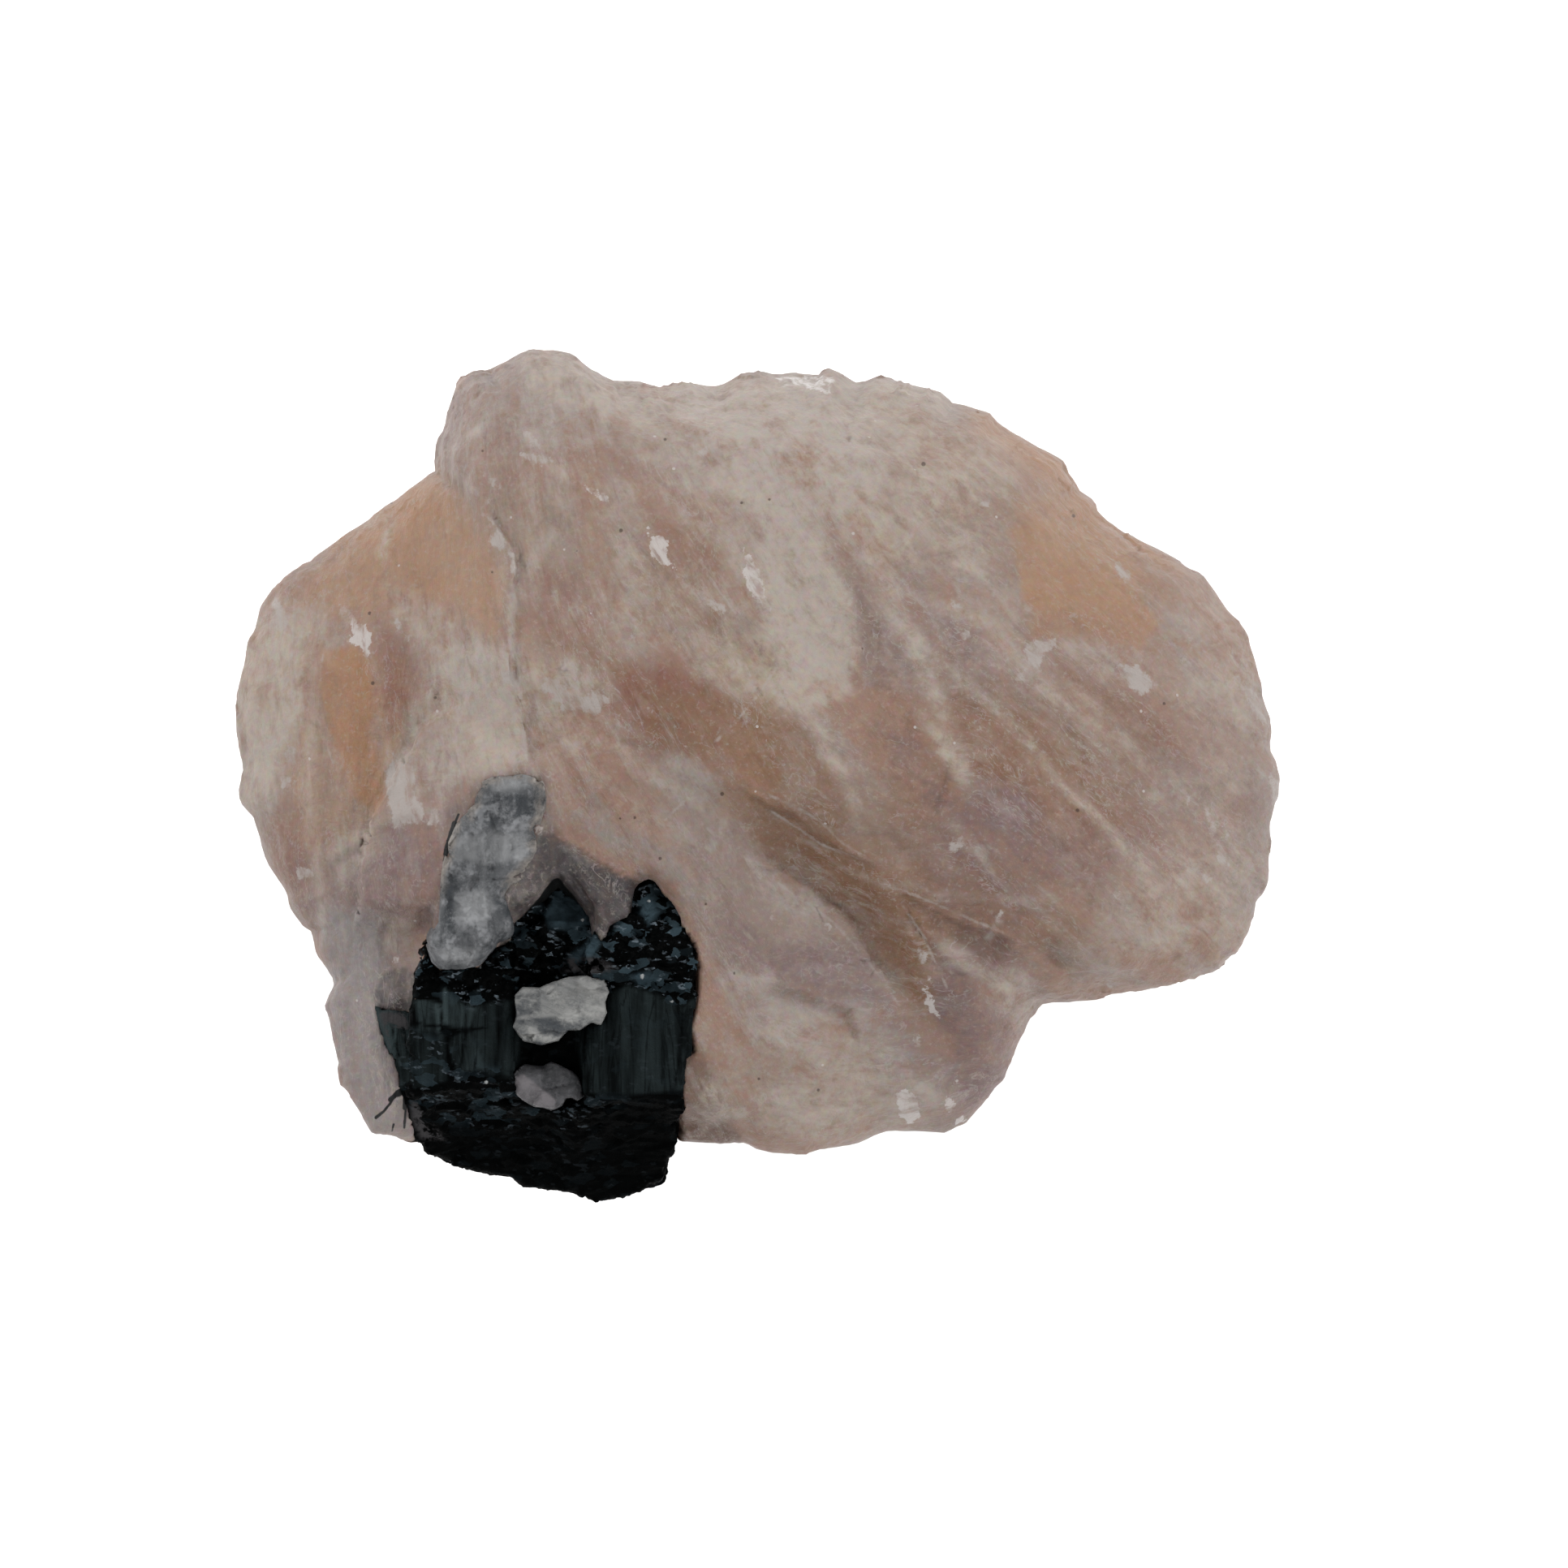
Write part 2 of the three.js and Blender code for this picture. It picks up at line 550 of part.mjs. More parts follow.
function piece(name, geometry, material) {
  const mesh = new THREE.Mesh(geometry, material);
  geometry.computeVertexNormals();
  mesh.name = name;
  return mesh;
}

function buildSpecimen() {
  const [cap, whiteChip, greyChip] = [GREY_CAP, WHITE_CHIP, GREY_CHIP].map(chip);
  const sockets = [cap, whiteChip, greyChip].map((bit) => grown(bit, FIT_GAP));
  const cut = (solid, sinks) => geometryOf(sinks.reduce((rest, sink) => rest.subtract(sink), solid));
  const cluster = tourmalineCluster();
  const pocket = grown(geometryOf(cluster), FIT_GAP);
  const crystals = cut(cluster, sockets);
  const windows = [windowOver(CLUSTER_OUTLINE, CLUSTER_FLOOR), windowOver(GREY_CAP.corners, CAP_FLOOR)];
  const stone = cut(quartzMass(), [pocket, ...windows, ...sockets]);

  const specimen = new THREE.Group();
  specimen.add(
    piece('rose_quartz', stone, roseQuartz()),
    piece('black_tourmaline', crystals, blackTourmaline()),
    piece('grey_quartz_cap', cap, greyQuartz()),
    piece('white_quartz_chip', whiteChip, whiteQuartz()),
    piece('grey_quartz_chip', greyChip, greyQuartz()),
  );
  const box = new THREE.Box3().setFromObject(specimen);
  const middle = box.getCenter(new THREE.Vector3());
  specimen.position.set(-middle.x, -middle.y, -box.min.z);
  return specimen;
}

export default buildSpecimen();
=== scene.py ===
"""Dresses the rose quartz specimen: a rough lump of cloudy quartz with black tourmaline in it.

Every length is in metres once it reaches a mesh, and in millimetres while a mesh is shaped: X
along the stone, Y across its broad face, Z up out of it. Outlines and routes over the broad
face are drawn in steps, of which the stone is STEPS_LONG long, with Y running down.
"""

import logging
import math
from dataclasses import dataclass, field
from enum import Enum
from functools import reduce
from typing import Callable, Sequence

import bmesh
import bpy
import numpy as np
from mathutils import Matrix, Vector, noise


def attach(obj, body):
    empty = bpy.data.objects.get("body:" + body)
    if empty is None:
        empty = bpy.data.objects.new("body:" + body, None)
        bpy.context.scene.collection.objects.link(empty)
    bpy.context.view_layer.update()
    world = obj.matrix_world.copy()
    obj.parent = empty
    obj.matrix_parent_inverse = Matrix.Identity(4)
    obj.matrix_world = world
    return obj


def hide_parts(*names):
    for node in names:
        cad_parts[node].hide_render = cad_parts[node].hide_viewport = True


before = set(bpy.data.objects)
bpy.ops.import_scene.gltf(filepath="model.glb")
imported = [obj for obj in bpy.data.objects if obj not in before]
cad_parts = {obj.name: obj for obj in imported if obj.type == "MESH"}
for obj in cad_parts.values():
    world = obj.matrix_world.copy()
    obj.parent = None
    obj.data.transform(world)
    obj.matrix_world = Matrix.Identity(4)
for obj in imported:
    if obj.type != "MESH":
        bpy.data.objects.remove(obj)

LOG = logging.getLogger("specimen")
MM = 0.001

# The stone's length along X in millimetres and in steps, and the step place of X 0, Y 0.
LENGTH = 105.0
STEPS_LONG = 1288
STEP = LENGTH / STEPS_LONG
ORIGIN = (934.0, 954.7)

# The depth, in millimetres, that stands for anywhere well outside a mark.
OUTSIDE = -2.0

Point = tuple[float, float]
Line = tuple[Point, ...]
Dot = tuple[float, float, float]
Colour = tuple[float, float, float]
Socket = bpy.types.NodeSocket
Tree = bpy.types.NodeTree


class Mark(Enum):
    """A tint that lies in the quartz in soft veils."""

    APRICOT = "apricot"
    OCHRE = "ochre"
    YELLOW = "yellow"
    ROSE = "rose"
    AMBER = "amber"
    MAUVE = "mauve"
    ASH = "ash"
    # Mostly painted shade, and dark brown in places.
    DARK = "dark"
    CREAM = "cream"
    FROST = "frost"
    GREY = "grey"


@dataclass(frozen=True)
class Veil:
    """A soft patch of a tint: its strength, the steps that its edge blurs over, its outline."""

    strength: float
    blur: float
    outline: Line


@dataclass(frozen=True)
class Streak:
    """A soft line of a tint: its strength, its half width in steps and its route."""

    strength: float
    width: float
    route: Line


@dataclass(frozen=True)
class Ledge:
    """A broken edge: its route, and the drop on its right hand over some width.

    The sunk side comes back to the level around it over the run. These are in millimetres.
    """

    route: Line
    drop: float
    width: float
    run: float


# The rim of the stone, from the tourmaline round to the tourmaline.
STONE_EDGE: Line = (
    (536, 579), (538, 548), (541, 537), (547, 528), (551, 508), (566, 465), (570, 461), (580, 457),
    (590, 455), (600, 457), (618, 446), (625, 446), (645, 432), (669, 430), (703, 435), (738, 461),
    (757, 469), (793, 471), (810, 476), (845, 471), (870, 476), (890, 476), (905, 463), (938, 456),
    (955, 460), (1008, 460), (1013, 455), (1020, 453), (1034, 458), (1050, 469), (1060, 472),
    (1086, 462), (1160, 484), (1172, 496), (1190, 499), (1220, 510), (1230, 522), (1308, 568),
    (1314, 580), (1327, 596), (1327, 602), (1345, 614), (1351, 620), (1353, 628), (1366, 640),
    (1412, 670), (1450, 688), (1482, 708), (1512, 752), (1527, 766), (1538, 785), (1554, 840),
    (1556, 860), (1564, 885), (1566, 905), (1564, 918), (1568, 932), (1573, 937), (1578, 960),
    (1564, 1020), (1567, 1038), (1562, 1060), (1561, 1088), (1548, 1112), (1540, 1148), (1534, 1155),
    (1525, 1173), (1515, 1178), (1510, 1188), (1504, 1194), (1440, 1217), (1320, 1234), (1287, 1236),
    (1280, 1240), (1255, 1283), (1236, 1333), (1190, 1382), (1165, 1396), (1095, 1394), (1080, 1398),
    (1058, 1408), (1010, 1416), (990, 1422), (950, 1419), (930, 1414), (920, 1408), (700, 1404),
    (496, 1406), (490, 1401), (457, 1393), (455, 1385), (436, 1355), (420, 1335), (417, 1320),
    (419, 1310), (401, 1240), (404, 1228), (414, 1210), (390, 1175), (384, 1148), (375, 1144),
    (355, 1118), (353, 1100), (332, 1067), (312, 1008), (298, 993), (294, 985), (293, 975), (300, 945),
    (290, 903), (292, 848), (307, 788), (314, 775), (320, 747), (340, 719), (361, 701), (383, 693),
    (390, 685), (434, 650), (452, 641), (533, 581),
)

# Soft patches and streaks of each tint. The dark ones are mostly painted shade along the broken edges,
# beside the tourmaline and in a recess.
VEILS: dict[Mark, tuple[Veil, ...]] = {
    Mark.APRICOT: (
        Veil(0.85, 22, (
            (505, 600), (540, 580), (590, 640), (612, 680), (629, 715), (626, 780), (600, 790),
            (560, 755), (490, 720), (445, 660), (470, 630),
        )),
        Veil(0.5, 26, (
            (385, 860), (440, 900), (470, 1000), (440, 1040), (400, 1050), (370, 1100), (350, 1080),
            (340, 1020), (365, 900),
        )),
        Veil(0.75, 20, ((395, 700), (470, 640), (490, 720), (480, 760), (420, 760), (380, 740))),
        Veil(0.75, 13, (
            (1248, 612), (1290, 612), (1345, 635), (1400, 690), (1410, 760), (1400, 795), (1270, 790),
            (1262, 745), (1262, 690), (1248, 680),
        )),
        Veil(0.6, 20, (
            (1185, 497), (1225, 505), (1240, 530), (1300, 560), (1350, 640), (1330, 650), (1290, 590),
            (1200, 540),
        )),
        Veil(0.35, 30, ((1350, 640), (1440, 690), (1470, 740), (1420, 760), (1380, 700))),
        Veil(0.3, 30, ((1040, 470), (1160, 500), (1190, 600), (1120, 600), (1080, 540))),
        Veil(0.9, 6, ((1240, 650), (1263, 745), (1330, 775), (1400, 803), (1430, 765), (1300, 640))),
        Veil(0.75, 8, (
            (462, 800), (500, 806), (508, 850), (500, 910), (484, 960), (474, 930), (460, 850),
        )),
        Veil(0.4, 10, ((880, 975), (1010, 972), (1030, 1035), (885, 1012))),
    ),
    Mark.OCHRE: (
        Veil(0.95, 8, (
            (398, 802), (440, 796), (460, 812), (464, 860), (460, 900), (474, 950), (478, 985),
            (462, 1000), (440, 985), (424, 940), (404, 900), (392, 850),
        )),
        Veil(0.55, 16, ((1190, 500), (1226, 508), (1236, 530), (1205, 535))),
        Veil(0.4, 18, ((505, 600), (545, 592), (560, 640), (520, 660), (500, 630))),
        Veil(0.35, 14, ((505, 705), (545, 710), (550, 735), (515, 738))),
        Veil(0.35, 16, ((1265, 690), (1330, 700), (1330, 740), (1266, 742))),
        Veil(0.5, 16, (
            (905, 905), (940, 870), (960, 860), (950, 920), (960, 960), (945, 1000), (990, 1045),
            (960, 1035), (925, 1000), (905, 950),
        )),
        Veil(0.3, 12, ((345, 820), (390, 810), (385, 850), (350, 860))),
        Veil(0.45, 12, ((1235, 533), (1305, 562), (1355, 635), (1345, 675), (1290, 600), (1240, 560))),
        Veil(0.5, 12, ((440, 655), (505, 603), (535, 592), (520, 640), (470, 690))),
        Veil(0.25, 14, ((885, 825), (985, 825), (990, 885), (900, 885))),
    ),
    Mark.YELLOW: (
        Veil(0.4, 20, (
            (915, 800), (950, 800), (968, 830), (950, 870), (925, 892), (905, 905), (935, 860),
            (940, 825),
        )),
        Veil(0.35, 14, ((880, 780), (950, 790), (960, 860), (930, 890), (890, 850))),
    ),
    Mark.ROSE: (
        Veil(0.8, 20, ((655, 690), (720, 700), (752, 760), (740, 800), (685, 800), (650, 760))),
        Veil(1, 18, (
            (768, 822), (830, 812), (882, 840), (900, 890), (890, 930), (840, 925), (800, 905),
            (765, 872),
        )),
        Veil(0.7, 20, (
            (795, 600), (860, 640), (890, 680), (905, 735), (880, 760), (840, 725), (800, 705),
        )),
        Veil(0.5, 16, ((600, 540), (640, 580), (620, 630), (590, 600))),
        Veil(0.55, 18, ((600, 520), (760, 540), (830, 600), (700, 600), (620, 590))),
        Veil(0.65, 14, ((465, 760), (528, 802), (520, 840), (500, 880), (480, 905), (465, 850))),
        Veil(0.25, 20, (
            (1265, 755), (1400, 760), (1420, 800), (1460, 850), (1380, 862), (1300, 840), (1290, 800),
        )),
        Veil(0.6, 16, ((1500, 975), (1550, 980), (1548, 1015), (1505, 1020))),
        Veil(0.35, 26, ((1400, 880), (1520, 880), (1540, 930), (1420, 940))),
        Veil(0.4, 20, ((1245, 870), (1300, 900), (1350, 960), (1300, 960), (1250, 920))),
        Veil(0.6, 20, ((335, 1010), (372, 1000), (385, 1090), (350, 1085))),
        Veil(0.35, 20, ((560, 460), (640, 470), (700, 520), (600, 560), (560, 520))),
        Veil(0.3, 20, ((1080, 560), (1230, 590), (1240, 640), (1150, 620), (1090, 590))),
        Veil(0.35, 16, (
            (1300, 812), (1400, 815), (1500, 860), (1555, 950), (1500, 980), (1400, 900), (1330, 860),
        )),
        Veil(0.35, 30, (
            (1100, 850), (1200, 850), (1260, 950), (1300, 1050), (1250, 1150), (1180, 1200),
            (1110, 1100), (1090, 960),
        )),
        Veil(0.45, 22, (
            (1160, 860), (1240, 880), (1400, 1020), (1330, 1060), (1230, 990), (1170, 930),
        )),
        Veil(0.3, 20, ((1440, 1000), (1500, 1010), (1510, 1070), (1460, 1080))),
        Veil(0.7, 10, ((1125, 580), (1180, 585), (1195, 645), (1140, 640))),
        Veil(0.35, 22, ((1300, 980), (1480, 1000), (1480, 1120), (1340, 1140))),
        Veil(0.3, 14, ((765, 870), (830, 880), (820, 980), (770, 960))),
        Veil(0.3, 14, ((1420, 1030), (1500, 1035), (1500, 1120), (1430, 1135))),
        Veil(0.35, 12, ((1240, 1190), (1290, 1195), (1280, 1240), (1240, 1300))),
    ),
    Mark.AMBER: (
        Veil(0.95, 16, (
            (915, 1000), (960, 1003), (1000, 1042), (1070, 1062), (1120, 1095), (1160, 1240),
            (1130, 1240), (1040, 1115), (925, 1030),
        )),
        Veil(0.4, 20, ((780, 690), (860, 700), (880, 780), (800, 770))),
        Veil(0.35, 20, ((660, 800), (760, 810), (740, 870), (680, 870))),
        Veil(0.5, 30, (
            (880, 690), (1000, 950), (1100, 1080), (1150, 1180), (1120, 1200), (900, 980), (850, 900),
            (860, 800),
        )),
        Veil(0.8, 18, ((925, 990), (1000, 1000), (1060, 1058), (1040, 1085), (970, 1060), (925, 1025))),
        Veil(0.35, 30, ((560, 600), (760, 620), (800, 700), (740, 720), (600, 690))),
        Veil(0.35, 30, ((1100, 560), (1250, 600), (1260, 700), (1150, 700))),
        Veil(0.4, 40, ((1180, 820), (1350, 830), (1450, 900), (1400, 1000), (1280, 980), (1200, 900))),
        Veil(0.45, 14, ((1270, 1140), (1330, 1150), (1340, 1200), (1290, 1200))),
        Veil(0.5, 18, ((1120, 1080), (1250, 1100), (1260, 1160), (1160, 1140))),
        Veil(0.75, 22, (
            (790, 850), (880, 850), (980, 890), (1010, 930), (960, 960), (860, 950), (800, 910),
        )),
        Veil(0.4, 20, ((780, 640), (870, 650), (900, 700), (880, 765), (800, 760))),
        Veil(0.35, 16, ((650, 770), (760, 780), (785, 840), (680, 845))),
        Veil(0.45, 24, (
            (1080, 860), (1230, 860), (1340, 950), (1400, 1050), (1340, 1150), (1200, 1220),
            (1100, 1150), (1060, 1000),
        )),
        Veil(0.6, 16, ((935, 930), (1040, 940), (1095, 1040), (1060, 1080), (960, 1010))),
        Veil(0.5, 14, ((1070, 1080), (1280, 1080), (1280, 1130), (1180, 1165), (1100, 1140))),
        Veil(0.45, 12, ((530, 900), (572, 915), (565, 1000), (548, 1095), (500, 1085), (515, 1000))),
    ),
    Mark.MAUVE: (
        Veil(0.6, 22, ((430, 1045), (540, 1040), (560, 1090), (520, 1160), (470, 1180), (430, 1130))),
        Veil(0.6, 22, ((1085, 890), (1130, 900), (1135, 960), (1100, 945))),
        Veil(0.6, 26, ((1190, 965), (1260, 985), (1270, 1040), (1215, 1030))),
        Veil(0.6, 20, ((962, 1175), (1012, 1170), (1010, 1222), (970, 1220))),
        Veil(0.5, 20, ((890, 1130), (1060, 1190), (1090, 1240), (900, 1190))),
        Veil(0.7, 14, ((1150, 1180), (1200, 1210), (1215, 1290), (1180, 1290), (1150, 1250))),
        Veil(0.5, 30, (
            (1030, 1240), (1130, 1290), (1200, 1310), (1230, 1340), (1150, 1350), (1080, 1310),
        )),
        Veil(0.35, 30, ((1060, 700), (1130, 720), (1160, 860), (1110, 860), (1070, 800))),
        Veil(0.4, 24, ((1270, 1000), (1400, 1040), (1380, 1100), (1280, 1080))),
        Veil(0.6, 8, ((702, 1057), (733, 1076), (740, 1090), (733, 1135), (718, 1105))),
        Veil(0.35, 16, ((1150, 740), (1210, 780), (1230, 840), (1170, 830))),
        Veil(0.75, 14, (
            (520, 890), (570, 905), (580, 960), (560, 1010), (548, 1080), (480, 1085), (470, 1030),
            (500, 990),
        )),
        Veil(0.3, 16, ((350, 1040), (430, 1060), (470, 1150), (400, 1170), (360, 1110))),
        Veil(0.4, 24, (
            (1150, 960), (1260, 980), (1300, 1060), (1260, 1180), (1180, 1190), (1140, 1080),
        )),
        Veil(0.6, 14, (
            (1150, 1160), (1290, 1180), (1285, 1240), (1245, 1330), (1190, 1385), (1170, 1300),
            (1200, 1240),
        )),
        Veil(0.6, 16, ((990, 1165), (1065, 1165), (1085, 1230), (1000, 1245))),
        Veil(0.35, 14, ((1190, 960), (1250, 970), (1270, 1060), (1200, 1060))),
    ),
    Mark.ASH: (
        Veil(0.95, 14, ((395, 1110), (470, 1130), (510, 1400), (440, 1385), (400, 1250))),
        Veil(0.45, 26, ((570, 445), (740, 450), (760, 540), (640, 560), (570, 520))),
        Veil(0.25, 14, (
            (1520, 800), (1570, 860), (1575, 1000), (1555, 1130), (1500, 1190), (1530, 1050),
            (1535, 900),
        )),
        Veil(0.35, 30, ((900, 1230), (1100, 1230), (1160, 1330), (1100, 1390), (920, 1390))),
        Veil(0.65, 18, ((690, 1000), (760, 1030), (830, 1050), (860, 1120), (840, 1080), (700, 1010))),
        Veil(0.35, 22, ((1010, 480), (1180, 500), (1170, 560), (1060, 550))),
    ),
    # Painted shade under broken edges, beside the tourmaline's lower flank and in a recess by the cap.
    Mark.DARK: (
        Veil(0.4, 10, (
            (1125, 1108), (1200, 1142), (1245, 1155), (1255, 1185), (1205, 1185), (1150, 1145),
        )),
        Veil(0.43, 9, ((1282, 1155), (1302, 1158), (1335, 1186), (1300, 1190))),
        Veil(0.7, 7, ((848, 1378), (900, 1392), (925, 1404), (848, 1406))),
        Veil(0.28, 18, ((1042, 690), (1062, 690), (1092, 780), (1100, 870), (1072, 850), (1056, 760))),
        Veil(0.22, 10, ((935, 538), (995, 545), (1005, 570), (950, 562))),
        Veil(0.25, 30, ((1110, 790), (1180, 800), (1220, 860), (1150, 860))),
        Veil(0.25, 14, ((1150, 1185), (1195, 1215), (1205, 1260), (1160, 1240))),
        Veil(0.9, 4, ((626, 1096), (658, 1085), (664, 1096), (645, 1122), (626, 1138))),
        Veil(0.95, 9, ((834, 1280), (866, 1290), (890, 1340), (912, 1404), (834, 1405))),
        Veil(0.35, 20, ((850, 1270), (960, 1270), (990, 1330), (920, 1370), (860, 1350))),
        Veil(0.7, 6, ((834, 1365), (882, 1378), (908, 1406), (834, 1408))),
    ),
    Mark.CREAM: (
        Veil(0.75, 20, (
            (300, 790), (345, 745), (385, 790), (378, 860), (335, 985), (300, 1000), (293, 860),
        )),
        Veil(0.55, 14, (
            (530, 800), (600, 790), (625, 800), (646, 935), (565, 965), (540, 1010), (488, 1012),
            (480, 960), (487, 930), (528, 840),
        )),
        Veil(0.6, 14, (
            (530, 815), (600, 800), (636, 850), (645, 930), (590, 945), (575, 890), (540, 870),
        )),
        Veil(0.4, 16, ((470, 720), (560, 750), (600, 790), (540, 800), (500, 790), (480, 760))),
        Veil(0.85, 13, (
            (868, 575), (905, 565), (1000, 640), (1043, 740), (1053, 800), (1048, 850), (1010, 870),
            (990, 882), (956, 872), (962, 800), (942, 760), (934, 700), (952, 650), (905, 612),
            (880, 600),
        )),
        Veil(0.4, 40, ((950, 500), (1150, 510), (1240, 580), (1235, 680), (1180, 700), (960, 560))),
        Veil(0.5, 22, ((760, 470), (1180, 488), (1100, 525), (820, 500))),
        Veil(0.3, 30, ((850, 510), (960, 520), (1010, 560), (860, 560))),
        Veil(0.6, 16, ((645, 440), (700, 436), (800, 500), (815, 530), (740, 512), (650, 478))),
        Veil(0.4, 30, (
            (860, 1270), (960, 1240), (1060, 1250), (1100, 1300), (1090, 1380), (1000, 1410),
            (920, 1390), (862, 1360),
        )),
        Veil(0.35, 30, ((1440, 1040), (1550, 1060), (1540, 1150), (1500, 1180), (1440, 1150))),
        Veil(0.4, 26, ((1380, 1060), (1470, 1080), (1450, 1180), (1380, 1200), (1340, 1150))),
        Veil(0.35, 24, ((1480, 700), (1545, 800), (1550, 850), (1500, 830), (1460, 760))),
        Veil(0.45, 16, ((1270, 1180), (1290, 1232), (1260, 1270), (1215, 1230), (1225, 1200))),
        Veil(0.25, 40, (
            (570, 470), (1150, 480), (1250, 560), (1200, 700), (1000, 700), (800, 800), (640, 760),
            (580, 600),
        )),
        Veil(0.7, 18, ((600, 800), (700, 812), (730, 860), (680, 890), (610, 860))),
        Veil(0.75, 12, ((840, 476), (960, 462), (1100, 470), (1180, 492), (960, 480), (860, 492))),
        Veil(0.6, 16, ((820, 480), (1060, 480), (1110, 505), (1060, 550), (960, 545), (840, 525))),
        Veil(0.55, 14, ((990, 560), (1060, 585), (1115, 640), (1135, 700), (1085, 690), (1020, 625))),
        Veil(0.45, 12, ((1120, 520), (1175, 535), (1180, 580), (1130, 570))),
        Veil(0.45, 14, ((830, 785), (960, 775), (985, 830), (945, 865), (890, 850), (840, 825))),
        Veil(0.3, 14, ((890, 720), (940, 730), (950, 780), (900, 775))),
        Veil(0.3, 16, ((350, 740), (400, 750), (410, 820), (360, 820))),
        Veil(0.4, 10, ((470, 1130), (515, 1130), (515, 1165), (475, 1170))),
        Veil(0.3, 20, ((1430, 820), (1530, 820), (1560, 950), (1500, 990), (1450, 900))),
        Veil(0.4, 12, ((395, 1045), (450, 1020), (475, 1045), (420, 1085))),
        Veil(0.3, 18, ((930, 1330), (1000, 1320), (1160, 1330), (1140, 1385), (960, 1400))),
        Veil(0.35, 14, ((650, 880), (740, 880), (760, 920), (680, 930))),
        Veil(0.2, 16, ((1440, 960), (1530, 960), (1540, 1080), (1460, 1060))),
        Veil(0.3, 14, ((1300, 780), (1420, 800), (1440, 860), (1340, 840))),
    ),
    Mark.FROST: (
        Veil(0.5, 2.5, ((480, 1223), (494, 1214), (513, 1204), (514, 1212), (499, 1224), (484, 1228))),
        Veil(0.35, 20, ((830, 480), (1060, 480), (1110, 600), (960, 640), (850, 560))),
        Veil(0.35, 18, ((930, 620), (1000, 640), (1040, 760), (1040, 840), (960, 840), (940, 720))),
        Veil(0.3, 16, ((500, 800), (640, 800), (645, 880), (560, 890))),
    ),
    Mark.GREY: (
        Veil(0.95, 4, (
            (668, 1022), (700, 1041), (730, 1064), (790, 1087), (778, 1097), (740, 1082), (712, 1064),
            (690, 1052), (665, 1042),
        )),
        Veil(1, 6, (
            (665, 1030), (712, 1055), (784, 1088), (800, 1120), (780, 1180), (640, 1190), (606, 1150),
            (625, 1060),
        )),
        Veil(0.55, 8, (
            (524, 1130), (545, 1085), (553, 1050), (556, 1000), (590, 962), (640, 950), (672, 955),
            (682, 1000), (700, 1050), (640, 1120), (600, 1190), (540, 1200),
        )),
        Veil(0.2, 7, ((775, 1080), (800, 1060), (815, 1075), (800, 1090))),
        Veil(0.75, 4, ((461, 1226), (474, 1198), (500, 1190), (516, 1200), (516, 1245), (468, 1243))),
        Veil(0.8, 4, ((463, 1229), (512, 1233), (512, 1244), (470, 1241))),
    ),
}
